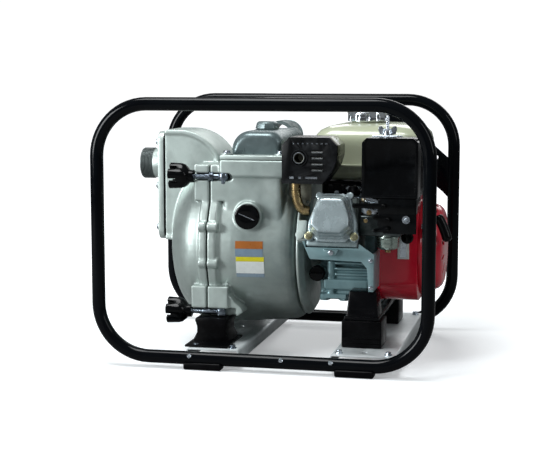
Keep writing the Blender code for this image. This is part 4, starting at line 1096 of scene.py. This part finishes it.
def make_valve_cover():
    base = 0.1683
    rim = cyl(prism(cover_outline(1.0, 0.0045), base, base + 0.0055, axis="Z"))
    lugs = []
    for x in COVER_BOLTS_X:
        lugs.append(cyl(turned([(0, 0.0088), (0.006, 0.0082)], (x, COVER_BOLTS_Y, base), UP, 28)))
        lugs.append(cyl(turned([(0, 0.007), (0.006, 0.0065)],
                               (0.0905 if x < 0.11 else 0.1445, 0.042, base), UP, 24)))
    steps = ((1.0, 0.003), (1.0, 0.011), (0.985, 0.0125), (0.95, 0.0132), (0.945, 0.015), (0.94, 0.0215),
             (0.925, 0.0235), (0.893, 0.0243), (0.888, 0.026), (0.882, 0.03), (0.86, 0.033), (0.82, 0.0345),
             (0.7, 0.0352))
    sections = []
    for scale, level in steps:
        slope = 1 - 11.0 * max(0, level - 0.015)
        sections.append([(x, y * slope if y > 0 else y, base + level) for x, y in cover_outline(scale)])
    body = carved(rim, add=[cyl(skinned(sections)), *lugs])
    piece("valve_cover_body", body, "cover_silver", node="valve_cover", cast=0.0011, keep=0.5, soften=3)
    bolts = [cyl(hexagon((x, COVER_BOLTS_Y, base + 0.0072), UP, 0.0118, 0.005)) for x in COVER_BOLTS_X]
    piece("valve_cover_bolts", joined(*bolts), "zinc_hardware", bevel=0.0003, finish="yellow_zinc")


def make_shroud():
    """Pressed cowl that turns the cooling air under and beside the cylinder."""
    outer = [(0.062, 0.229), (0.069, 0.2125), (0.078, 0.1925), (0.169, 0.19),
            (0.179, 0.1785), (0.1815, 0.138), (0.1905, 0.138), (0.1915, 0.203),
            (0.163, 0.2225), (0.076, 0.2225), (0.072, 0.229)]
    shell = prism(outer, -0.168, -0.0885)
    room = prism([(0.065, 0.25), (0.065, 0.228), (0.0713, 0.2135), (0.0795, 0.195),
            (0.17, 0.1925), (0.1812, 0.1795), (0.1838, 0.13), (0.1882, 0.13),
            (0.189, 0.2015), (0.189, 0.25)], -0.1655, -0.08)
    head_room = cyl(block((0.0705, -0.0492, 0.06), (0.164, 0.06, 0.2)))
    shroud_room = block((0.1856, -0.0965, 0.1), (0.2, -0.08, 0.25))
    lug = prism([(0.103, 0.2105), (0.13, 0.2105), (0.124, 0.201), (0.108, 0.201)], -0.175, -0.166)
    body = carved(shell, add=[lug], cut=[room, head_room, shroud_room])
    piece("cylinder_cowl", body, "engine_casting", bevel=0.0012)
    heads("cylinder_cowl_screws", [((0.1165, -0.176, 0.2058), FRONT, 0.0075, 0.003),
                                   ((0.1855, -0.1692, 0.193), FRONT, 0.0065, 0.003),
                                   ((0.1862, -0.1692, 0.145), FRONT, 0.0065, 0.003)])


def guard_outline(inset):
    corners = [(0.027, 0.324), (0.099, 0.324), (0.119, 0.352), (0.125, 0.37), (0.125, 0.391), (0.111, 0.405),
               (0.041, 0.405), (0.027, 0.391)]
    scale = 1 - inset / 0.0405
    return [(0.076 + (x - 0.076) * scale, 0.3645 + (z - 0.3645) * scale) for x, z in corners]


def make_exhaust():
    body = prism(guard_outline(0.0065), -0.153, -0.095)
    bmesh.ops.bevel(body, geom=body.edges[:], offset=0.005, segments=3, affect="EDGES", profile=0.5)
    tail = turned([(0, 0.0105), (0.0165, 0.0105), (0.018, 0.0098)],
            (OUTLET_X, -0.15, OUTLET_HIGH), FRONT, 40)
    mouth = rod((OUTLET_X, -0.135, OUTLET_HIGH), (OUTLET_X, -0.175, OUTLET_HIGH), 0.008)
    seam = prism(guard_outline(0.0048), -0.126, -0.1235)
    piece("muffler_body", carved(body, add=[tail, seam], cut=[mouth]),
            "muffler_steel", node="muffler", bevel=0.0005)
    ring = turned([(0, 0.0088), (0, 0.0098), (0.0012, 0.0104), (0.0024, 0.0098), (0.0024, 0.0088)],
                  (OUTLET_X, -0.1668, OUTLET_HIGH), FRONT, 40, closed=True)
    piece("muffler_outlet_ring", ring, "zinc_hardware")
    room = prism(guard_outline(0.0016), -0.1634, -0.06)
    cuts = [room, rod((OUTLET_X, -0.18, OUTLET_HIGH), (OUTLET_X, -0.15, OUTLET_HIGH), 0.0125, 40),
            block((0.036, -0.15, 0.31), (0.092, -0.1, 0.329))]
    for i in range(4):
        cuts.append(block((0.08, -0.17, 0.3475 + 0.0105 * i),
                (0.1, -0.16, 0.351 + 0.0105 * i), 0.0012, 2))
    for i in range(8):
        cuts.append(block((0.044 + 0.0085 * i, -0.17, 0.3925),
                (0.0485 + 0.0085 * i, -0.16, 0.3955), 0.0008, 1))
    for low, high in ((0.038, 0.048), (0.055, 0.061), (0.068, 0.09)):
        cuts.append(block((low, -0.17, 0.332), (high, -0.16, 0.3365)))
    for i in range(5):
        cuts.append(block((0.12, -0.153 + 0.012 * i, 0.374),
                (0.13, -0.148 + 0.012 * i, 0.388), 0.001, 1))
    piece("muffler_guard_shell", carved(prism(guard_outline(0), -0.165, -0.088), cut=cuts), "guard_paint",
          node="muffler_guard", bevel=0.0005)
    # The lips have a paler finish than the guard: a painted highlight along each lip.
    lips = [rod((0.0805, -0.1648, z), (0.0995, -0.1648, z), 0.0019, 14)
            for z in (0.347 + 0.0105 * i for i in range(4))]
    piece("guard_louvres", joined(*lips), "guard_paint", finish="guard_edge_painted_highlight")
    strips = [block((x0, -0.1622, z0), (x1, -0.1614, z1))
              for x0, x1, z0, z1 in ((0.037, 0.0935, 0.3308, 0.3378), (0.043, 0.11, 0.3915, 0.3965))]
    piece("guard_back_strips", joined(*strips), "zinc_hardware", bevel=0.0002)
    side = prism([(0.1253, 0.3725), (0.1261, 0.3725), (0.1261, 0.3915), (0.1116, 0.4058),
            (0.111, 0.4052), (0.1253, 0.391)], -0.16, -0.092)
    piece("guard_side_plate", side, "guard_paint", bevel=0.0002, finish="olive_paint")
    stay = prism([(0.029, 0.3225), (0.07, 0.3225), (0.07, 0.292), (0.062, 0.276), (0.05, 0.272),
            (0.04, 0.285), (0.029, 0.3)], -0.1125, -0.111)
    holes = [rod((x, -0.12, z), (x, -0.1, z), 0.003, 20) for x, z in ((0.036, 0.312), (0.063, 0.287))]
    piece("muffler_stay", carved(stay, cut=holes), "muffler_steel", bevel=0.0004)
    collar = turned([(0, 0.013), (0, 0.0145), (0.003, 0.014), (0.003, 0.0128)],
                    (OUTLET_X, -0.1648, OUTLET_HIGH), FRONT, 40, closed=True)
    piece("guard_outlet_collar", carved(collar), "guard_paint")
    y = -0.135
    knots = [(0.046, y, 0.3299), (0.046, y, 0.318), (0.047, y, 0.3), (0.051, y, 0.285), (0.058, y, 0.2765),
             (0.066, y, 0.2738), (0.0708, y, 0.2737)]
    pipe = sweep(smooth_path(knots, 26), 0.0085, 28)
    piece("exhaust_pipe_tube", pipe, "exhaust_metal", node="exhaust_pipe")


def make_fan_side():
    outline = rounded(0.094, 0.094, 0.045, (0, 0.201), 14)
    shell = prism(outline, 0.187, 0.257, axis="X")
    room = on_axis(lathe([(0.18, 0.0895), (0.2545, 0.0895)], 64))
    mouth = rod((0.25, 0, AXIS_Z), (0.27, 0, AXIS_Z), 0.072, 64)
    lip = prism(rounded(0.0952, 0.0952, 0.046, (0, 0.201), 14), 0.187, 0.191, axis="X")
    piece("fan_shroud_shell", carved(shell, add=[lip], cut=[room, mouth]),
            "red_paint", node="fan_shroud", bevel=0.003)
    outer = [(0.2573, 0.0885), (0.262, 0.0885), (0.2645, 0.0865), (0.268, 0.083), (0.28, 0.079),
            (0.288, 0.076), (0.294, 0.0705), (0.297, 0.064), (0.2988, 0.052), (0.3, 0.034), (0.3, 0)]
    bowl = on_axis(lathe([(0.2573, 0), *outer], 72))
    hollow = on_axis(lathe([(0.25, 0.08), (0.266, 0.0795), (0.286, 0.073), (0.294, 0.062),
                            (0.297, 0.034)], 48))
    vents = []
    for i in range(20):
        if i in (8, 9, 10):
            continue
        slot = block((0.269, 0.06, -0.0042), (0.286, 0.1, 0.0042), 0.001, 1)
        vents.append(on_axis(moved(slot, Matrix.Rotation(2 * math.pi * (i + 0.5) / 20, 4, "X"))))
    for i in range(12):
        slot = block((0.29, 0.04, -0.0028), (0.31, 0.06, 0.0028), 0.001, 1)
        vents.append(on_axis(moved(slot, Matrix.Rotation(2 * math.pi * (i + 0.5) / 12, 4, "X"))))
    guide = on_axis(block((0.27, -0.095, 0.03), (0.286, -0.07, 0.054), 0.003))
    piece("recoil_starter_bowl", carved(bowl, add=[guide], cut=[hollow, *vents]),
            "red_paint", node="recoil_starter", bevel=0.0006)
    rows = []
    for i in range(3):
        angle = 2 * math.pi * i / 3 + 0.5
        spot = (0.2632, 0.0835 * math.cos(angle), AXIS_Z + 0.0835 * math.sin(angle))
        rows.append((spot, (1, 0, 0), 0.01, 0.004))
    heads("recoil_starter_bolts", rows)
    start, end = Vector((0.2915, -0.0845, 0.2655)), Vector((0.3105, -0.0845, 0.22))
    bow = Vector((0.0014, 0, 0.0006))
    path = smooth_path([start, start.lerp(end, 0.33) + bow, start.lerp(end, 0.66) + bow, end], 22)
    grip = sweep(path, 0.0088, 28)
    for vert in grip.verts:
        where = min(range(len(path)), key=lambda i: (path[i] - vert.co).length)
        ends = min(where, len(path) - 1 - where)
        factor = (0.55, 0.86, 0.98)[ends] if ends < 3 else 1.0
        vert.co = path[where] + (vert.co - path[where]) * factor
    piece("starter_grip_handle", grip, "black_plastic", "starter_grip", "starter_grip")
    knob = turned([(0, 0.011), (0.005, 0.011), (0.0075, 0.0095), (0.008, 0.0085)],
                  (0.24, -0.0943, 0.226), FRONT, 40)
    bar = block((0.2375, -0.1085, 0.217), (0.2425, -0.1, 0.235), 0.001)
    piece("engine_switch_knob", carved(knob, add=[bar]), "black_plastic",
            "engine_switch", "engine_switch", bevel=0.0005)


def make_fuel():
    low, high = span("fuel_tank")
    levels = ((0.322, 0.02, 0.016), (0.3235, 0.01, 0.02), (0.328, 0.0035, 0.024), (0.336, 0.0, 0.026),
                (0.392, 0.0, 0.028), (0.404, 0.003, 0.029), (0.4125, 0.01, 0.031), (0.4185, 0.022, 0.032),
                (0.4222, 0.038, 0.034), (0.4238, 0.056, 0.036))
    left = low.x + 0.0033
    mid_x, mid_y = (left + 0.262) / 2, (-0.06 + 0.15) / 2
    half_x, half_y = (0.262 - left) / 2, (0.15 + 0.06) / 2
    sections = []
    for z, inset, corner in levels:
        outline = rounded(half_x - inset, half_y - inset,
                min(corner, half_x - inset - 0.001), (mid_x, mid_y))
        sections.append([(x, y, z) for x, y in outline])
    seam = prism(rounded((high.x - low.x) / 2, (high.y - low.y) / 2,
            0.03, (mid_x, mid_y), 8), 0.348, 0.3515, "Z")
    neck = rod((CAP_X, CAP_Y, 0.41), (CAP_X, CAP_Y, 0.434), 0.03, 48)
    hole = rod((CAP_X, CAP_Y, 0.4), (CAP_X, CAP_Y, 0.44), 0.0265, 48)
    room = block((left + 0.0035, -0.0565, 0.3255), (0.2585, 0.1465, 0.409), 0.019)
    piece("fuel_tank_body", carved(skinned(sections), add=[seam, neck], cut=[room, hole]),
            "cream_paint", node="fuel_tank", bevel=0.0006)
    cap = turned([(0, 0.0365), (0.001, 0.0375), (0.014, 0.0375), (0.0165, 0.0368), (0.0182, 0.0345),
                  (0.019, 0.032)], (CAP_X, CAP_Y, 0.4265), UP, 72)
    well = rod((CAP_X, CAP_Y, 0.42), (CAP_X, CAP_Y, 0.4395), 0.0305, 48)
    notches = []
    for i in range(12):
        angle = 2 * math.pi * (i + 0.3) / 12
        spot = (CAP_X + 0.0398 * math.cos(angle), CAP_Y + 0.0398 * math.sin(angle))
        notches.append(rod((*spot, 0.428), (*spot, 0.4405), 0.0042, 20))
    piece("fuel_cap_cover", carved(cap, cut=[well, *notches]),
            "chrome_plate", "fuel_cap", "fuel_cap", bevel=0.0004)
    # A black band round the cap's middle: a painted dark reflection in the chrome.
    band = turned([(0, 0.02), (0.001, 0.0205), (0.0022, 0.0195)], (CAP_X, CAP_Y, 0.4452), UP, 48)
    piece("fuel_cap_dark_reflection_band", band, "black_plastic", "fuel_cap")


def make_intake():
    case = block((0.196, -0.163, 0.272), (0.263, -0.0975, 0.3017), 0.003)
    skirt = block((0.196, -0.163, 0.24), (0.263, -0.1585, 0.275), 0.0015)
    throat = block((0.202, -0.15, 0.277), (0.257, -0.104, 0.31))
    corner = prism([(0.19, 0.23), (0.215, 0.23), (0.19, 0.262)], -0.17, -0.15)
    piece("air_cleaner_base", carved(case, add=[skirt], cut=[throat, corner]),
            "black_plastic", node="air_cleaner_case", bevel=0.0008)
    shape = [(0.168, 0.302), (0.265, 0.302), (0.265, 0.397),
            (0.257, 0.405), (0.176, 0.405), (0.168, 0.397)]
    lid = prism(shape, -0.165, -0.072)
    face = prism([(0.173, 0.307), (0.26, 0.307), (0.26, 0.395), (0.2545, 0.4005),
            (0.1785, 0.4005), (0.173, 0.395)], -0.17, -0.1642)
    grooves = [block((0.16, -0.17, z), (0.27, -0.1646, z + 0.0009)) for z in (0.3205, 0.324, 0.3275)]
    inner = [(x + (0.0012 if x < 0.2 else -0.0012),
            z + (0.0012 if z < 0.35 else -0.0012)) for x, z in shape]
    step = carved(prism(shape, -0.1605, -0.159), cut=[prism(inner, -0.17, -0.15)])
    room = block((0.171, -0.1615, 0.29), (0.262, -0.075, 0.402))
    body = carved(lid, cut=[room, step, *grooves, face])
    piece("air_cleaner_lid", body, "black_plastic", node="air_cleaner_cover", bevel=0.0022)
    make_bracket()
    make_carburettor()


def make_bracket():
    """Wing nut, stud and strap on top of the air cleaner."""
    strap = carved(block((0.18, -0.128, 0.4052), (0.232, -0.108, 0.4075), 0.0008, 1))
    stud = turned([(0, 0.003), (0.036, 0.003), (0.037, 0.0022)], (WING_X, WING_Y, 0.4045), UP, 20)
    hub = turned([(0, 0.0085), (0.003, 0.0085), (0.011, 0.006)], (WING_X, WING_Y, 0.408), UP, 28)
    wings = []
    for s in (-1, 1):
        outline = [(WING_X + s * x, z) for x, z in ((0.004, 0.4085), (0.014, 0.4095), (0.0165, 0.418),
                (0.015, 0.4235), (0.0105, 0.424), (0.004, 0.416))]
        if s < 0:
            outline = outline[::-1]
        wings.append(prism(outline, -0.1195, -0.1165))
    piece("air_cleaner_wing_nut", carved(hub, add=[*wings, stud]), "zinc_hardware", bevel=0.0006)
    piece("air_cleaner_strap", strap, "zinc_hardware", bevel=0.0004)


def make_carburettor():
    body = block((0.1633, -0.156, 0.234), (0.236, -0.122, 0.2695), 0.003)
    bowl = turned([(0, 0.01), (0.0025, 0.0165), (0.006, 0.0188), (0.02, 0.0192), (0.0215, 0.0205),
                   (0.024, 0.0205), (0.0245, 0.017), (0.028, 0.017)], (0.2115, -0.139, 0.209), UP, 48)
    throat = rod((0.15, -0.139, 0.253), (0.25, -0.139, 0.253), 0.01)
    bosses = [rod((0.176, -0.159, 0.262), (0.176, -0.15, 0.262), 0.0055, 24),
              rod((0.19, -0.158, 0.243), (0.19, -0.15, 0.243), 0.0045, 24),
              rod((0.199, -0.146, 0.268), (0.199, -0.146, 0.2755), 0.005, 24)]
    piece("carburettor_body", carved(body, add=bosses, cut=[throat]), "machined_steel",
            node="carburettor", bevel=0.0006, finish="dark_steel")
    piece("carburettor_bowl", bowl, "machined_steel", bevel=0.0005)
    screw = hexagon((0.2115, -0.139, 0.209), (0, 0, -1), 0.011, 0.0045)
    idle = turned([(0, 0.0035), (0.0015, 0.0035), (0.0015, 0.0018), (0.012, 0.0018)],
                  (0.176, -0.167, 0.262), (0, 1, 0), 20)
    piece("carburettor_screws", joined(screw, idle), "exhaust_metal", bevel=0.0003)
    piece("idle_spring", coil((0.176, -0.1655, 0.262),
            (0.176, -0.1592, 0.262), 0.003, 5, 0.0005), "zinc_hardware")
    make_levers()
    make_air_guide()
    make_governor()
    make_linkage()


def lever(node, length, width, angle):
    """A small lever with a raised end, on the joint of its own node."""
    pivot = joint_spot(node)
    half = width / 2
    outline = arc((0, 0), half, 90, 270, 14) + arc((length, 0), half * 0.8, -90, 90, 14)
    place = Matrix.Translation(pivot) @ Matrix.Rotation(math.radians(angle), 4, "Y")
    arm = moved(prism(outline, -0.002, 0.002), place)
    tip = moved(rod((length, -0.0045, 0), (length, 0.002, 0), half * 0.62, 24), place)
    hub = turned([(0, half * 0.7), (0.005, half * 0.7), (0.006, half * 0.5)],
                 pivot + Vector((0, 0.001, 0)), FRONT, 24)
    piece(node + "_arm", carved(arm, add=[hub, tip]), "black_plastic", node, node, bevel=0.0005)


def make_levers():
    lever("throttle_lever", 0.05, 0.01, 180)
    lever("choke_lever", 0.022, 0.009, 190)
    lever("fuel_lever", 0.022, 0.008, 172)


def make_air_guide():
    """Black sheet between the head and the tank that closes the cooling air's way."""
    front = prism([(0.078, 0.268), (0.166, 0.262), (0.192, 0.24), (0.1945, 0.24),
            (0.1945, 0.3205), (0.078, 0.3205)], -0.0535, -0.0515)
    ribs = [block((0.09 + 0.022 * i, -0.055, 0.276),
            (0.098 + 0.022 * i, -0.052, 0.314), 0.001, 1) for i in range(5)]
    shelf = block((0.078, -0.0545, 0.3185), (0.1945, 0.008, 0.3205))
    piece("cylinder_air_guide", carved(front, add=[*ribs, shelf]), "stand_paint", bevel=0.0005)
    heads("air_guide_screws", [((x, -0.0555, 0.299), FRONT, 0.008, 0.0032) for x in (0.105, 0.149)])


def make_governor():
    """Governor arm, its spring and its rod, in front of the air guide."""
    arm = prism([(0.124, 0.28), (0.132, 0.276), (0.152, 0.291), (0.172, 0.291), (0.174, 0.302),
            (0.15, 0.303), (0.14, 0.296)], -0.06, -0.0584)
    holes = [rod((x, -0.07, z), (x, -0.05, z), 0.0022, 20) for x,
            z in ((0.131, 0.283), (0.166, 0.2965))]
    piece("governor_arm", carved(arm, cut=holes), "zinc_hardware", bevel=0.0003)
    spring = coil((0.13, -0.0645, 0.308), (0.166, -0.0645, 0.3095), 0.0031, 13, 0.0005)
    piece("return_spring", spring, "zinc_hardware")
    path = smooth_path([(0.1265, -0.0668, 0.285), (0.139, -0.069, 0.2895),
            (0.158, -0.069, 0.285), (0.176, -0.0668, 0.289)], 24)
    piece("control_rod", sweep(path, 0.0012, 12), "zinc_hardware")
    heads("governor_nuts", [((0.15, -0.0612, 0.2965), FRONT, 0.009, 0.004),
                            ((0.1265, -0.056, 0.308), FRONT, 0.007, 0.0095),
                            ((0.169, -0.056, 0.3095), FRONT, 0.007, 0.0095)])


def make_linkage():
    """Governor plate, rod and spring above the carburettor."""
    plate = prism([(0.166, 0.3), (0.195, 0.3), (0.195, 0.276), (0.188, 0.27), (0.172, 0.27), (0.166, 0.276)],
                  -0.148, -0.1462)
    holes = [rod((x, -0.16, z), (x, -0.13, z), r, 20) for x, z,
            r in ((0.174, 0.291, 0.003), (0.186, 0.28, 0.0022))]
    piece("control_plate", carved(plate, cut=holes), "zinc_hardware", bevel=0.0003)
    spring = coil((0.168, -0.15, 0.2965), (0.192, -0.15, 0.2905), 0.0026, 11, 0.00045)
    piece("governor_spring", spring, "zinc_hardware")
    path = smooth_path([(0.1655, -0.151, 0.288), (0.172, -0.152, 0.283),
            (0.184, -0.152, 0.28), (0.1945, -0.15, 0.279)], 20)
    piece("governor_rod", sweep(path, 0.0011, 12), "zinc_hardware")
    nut, screw = hexagon((0.179, -0.149, 0.2745), FRONT, 0.0075,
            0.0035), hexagon((0.17, -0.149, 0.296), FRONT, 0.006, 0.003)
    piece("control_plate_screws", joined(nut, screw), "exhaust_metal", bevel=0.0002)
    ring = turned([(0, 0.0038), (0, 0.0068), (0.0022, 0.0068), (0.0022, 0.0038)],
            (0.2456, -0.1637, 0.2651), FRONT, 32, closed=True)
    piece("case_nut_ring", ring, "zinc_hardware")
    piece("case_nut", hexagon((0.2456, -0.1645, 0.2651), FRONT, 0.0068,
            0.003), "zinc_hardware", bevel=0.0002)
    tag = block((0.2226, -0.095, 0.187), (0.2431, -0.0938, 0.23), 0.0005, 1)
    piece("shroud_plate", tag, "zinc_hardware", finish="label_field_white")
    band = block((0.2272, -0.0953, 0.1895), (0.238, -0.0948, 0.2275), 0.0001, 1)
    piece("shroud_plate_band", band, "zinc_hardware")


def make_ignition():
    boot = cyl(turned([(0, 0.0115), (0.004, 0.0112), (0.01, 0.0095), (0.013, 0.0095), (0.0135, 0.009)],
                      (0.146, 0.0503, 0.15), (0, 1, 0), 36))
    elbow = rod((0.146, -0.12, 0.3075), (0.1575, -0.1165, 0.3075), 0.0058)
    piece("spark_plug_boot", carved(boot, add=[elbow]), "black_rubber",
            node="spark_plug_cap", bevel=0.0008)
    knots = [(0.1583, -0.11626, 0.3075), (0.1598, -0.1158, 0.3075), (0.1609, -0.113, 0.3075),
            (0.1612, -0.104, 0.3078), (0.1612, -0.088, 0.308), (0.1622, -0.074, 0.308),
            (0.1675, -0.0645, 0.3078), (0.179, -0.0625, 0.3065), (0.189, -0.061, 0.304),
            (0.1945, -0.0595, 0.3), (0.196, -0.059, 0.2955)]
    piece("ignition_lead_wire", sweep(smooth_path(knots, 60), 0.0035,
            20), "black_rubber", node="ignition_lead")


# ---------------------------------------------------------------- studio
CAM_YAW, CAM_PITCH = math.radians(12.73), math.radians(6.636)


def area_light(name, spot, target, size, energy, colour):
    data = bpy.data.lights.new(name, "AREA")
    data.shape = "RECTANGLE"
    data.size, data.size_y = size
    data.energy = energy
    data.color = colour
    obj = bpy.data.objects.new(name, data)
    bpy.context.collection.objects.link(obj)
    obj.location = spot
    obj.rotation_euler = (Vector(target) - Vector(spot)).to_track_quat("-Z", "Y").to_euler()


def make_studio():
    bm = bmesh.new()
    bmesh.ops.create_grid(bm, x_segments=1, y_segments=1, size=14)
    floor = holder(bm)
    floor.name = "studio_floor"
    s = Surface("studio_floor", (0.82, 0.85, 0.86), 0.42)
    s.mottled((0.8, 0.83, 0.84), 3.0, 0.3, 0.7)
    s.gloss(6.0, 0.03)
    s.bump(300.0, 0.00005, 0.2)
    s.shader.inputs["Emission Color"].default_value = (0.97, 0.985, 1.0, 1.0)
    distance = s.tree.nodes.new("ShaderNodeVectorMath")
    distance.operation = "LENGTH"
    s.link(s.spot, distance.inputs[0])
    s.link(s.ranged(distance.outputs["Value"], 0.35, 1.5, 0.3, 1.0),
            s.shader.inputs["Emission Strength"])
    s.dim_for_light(0.26)
    floor.data.materials.append(s.mat)
    floor.location.z = -0.0004
    world = bpy.data.worlds.new("studio")
    bpy.context.scene.world = world
    world.use_nodes = True
    back = world.node_tree.nodes["Background"]
    back.inputs["Color"].default_value = (0.93, 0.97, 1.0, 1.0)
    back.inputs["Strength"].default_value = 0.2
    white = world.node_tree.nodes.new("ShaderNodeBackground")
    white.inputs["Color"].default_value = (1.0, 1.0, 1.0, 1.0)
    white.inputs["Strength"].default_value = 1.05
    path = world.node_tree.nodes.new("ShaderNodeLightPath")
    pick = world.node_tree.nodes.new("ShaderNodeMixShader")
    links = world.node_tree.links
    links.new(path.outputs["Is Camera Ray"], pick.inputs["Fac"])
    links.new(back.outputs["Background"], pick.inputs[1])
    links.new(white.outputs["Background"], pick.inputs[2])
    links.new(pick.outputs["Shader"], world.node_tree.nodes["World Output"].inputs["Surface"])
    middle = (0, 0, 0.22)
    area_light("top", (-0.4, -0.4, 2.2), middle, (1.3, 0.9), 46, (0.97, 0.99, 1.0))
    area_light("left", (-2.0, -1.75, 0.95), middle, (0.9, 1.4), 74, (0.95, 0.98, 1.0))
    area_light("right", (2.3, -0.9, 1.3), middle, (0.35, 1.5), 11, (0.95, 0.98, 1.0))
    area_light("rear", (0.3, 2.4, 1.5), middle, (2.0, 0.9), 16, (1.0, 1.0, 1.0))
    cam_data = bpy.data.cameras.new("camera")
    cam_data.lens = 85.84
    cam_data.sensor_width = 36.0
    cam = bpy.data.objects.new("camera", cam_data)
    bpy.context.collection.objects.link(cam)
    cam.location = (0.5193 + SHIFT, -2.3971, 0.5168)
    cam.rotation_euler = (math.pi / 2 - CAM_PITCH, 0, CAM_YAW)
    bpy.context.scene.camera = cam
    bpy.context.scene.view_settings.view_transform = "Standard"
    bpy.context.scene.view_settings.look = "None"


# ---------------------------------------------------------------- the whole
def carry_over():
    """Node materials for the CAD nodes that stay as they are."""
    for row in frame["record"]["subparts"]:
        obj = frame["nodes"][row["node"]]
        for place in obj.material_slots:
            place.material = LOOKS[row["material_slot"]]


make_studio()
carry_over()
make_frame()
make_mounts()
make_casing()
make_cover()
make_suction()
make_clamps()
make_discharge()
make_plug()
make_crankcase()
make_top_end()
make_exhaust()
make_fan_side()
make_fuel()
make_intake()
make_ignition()
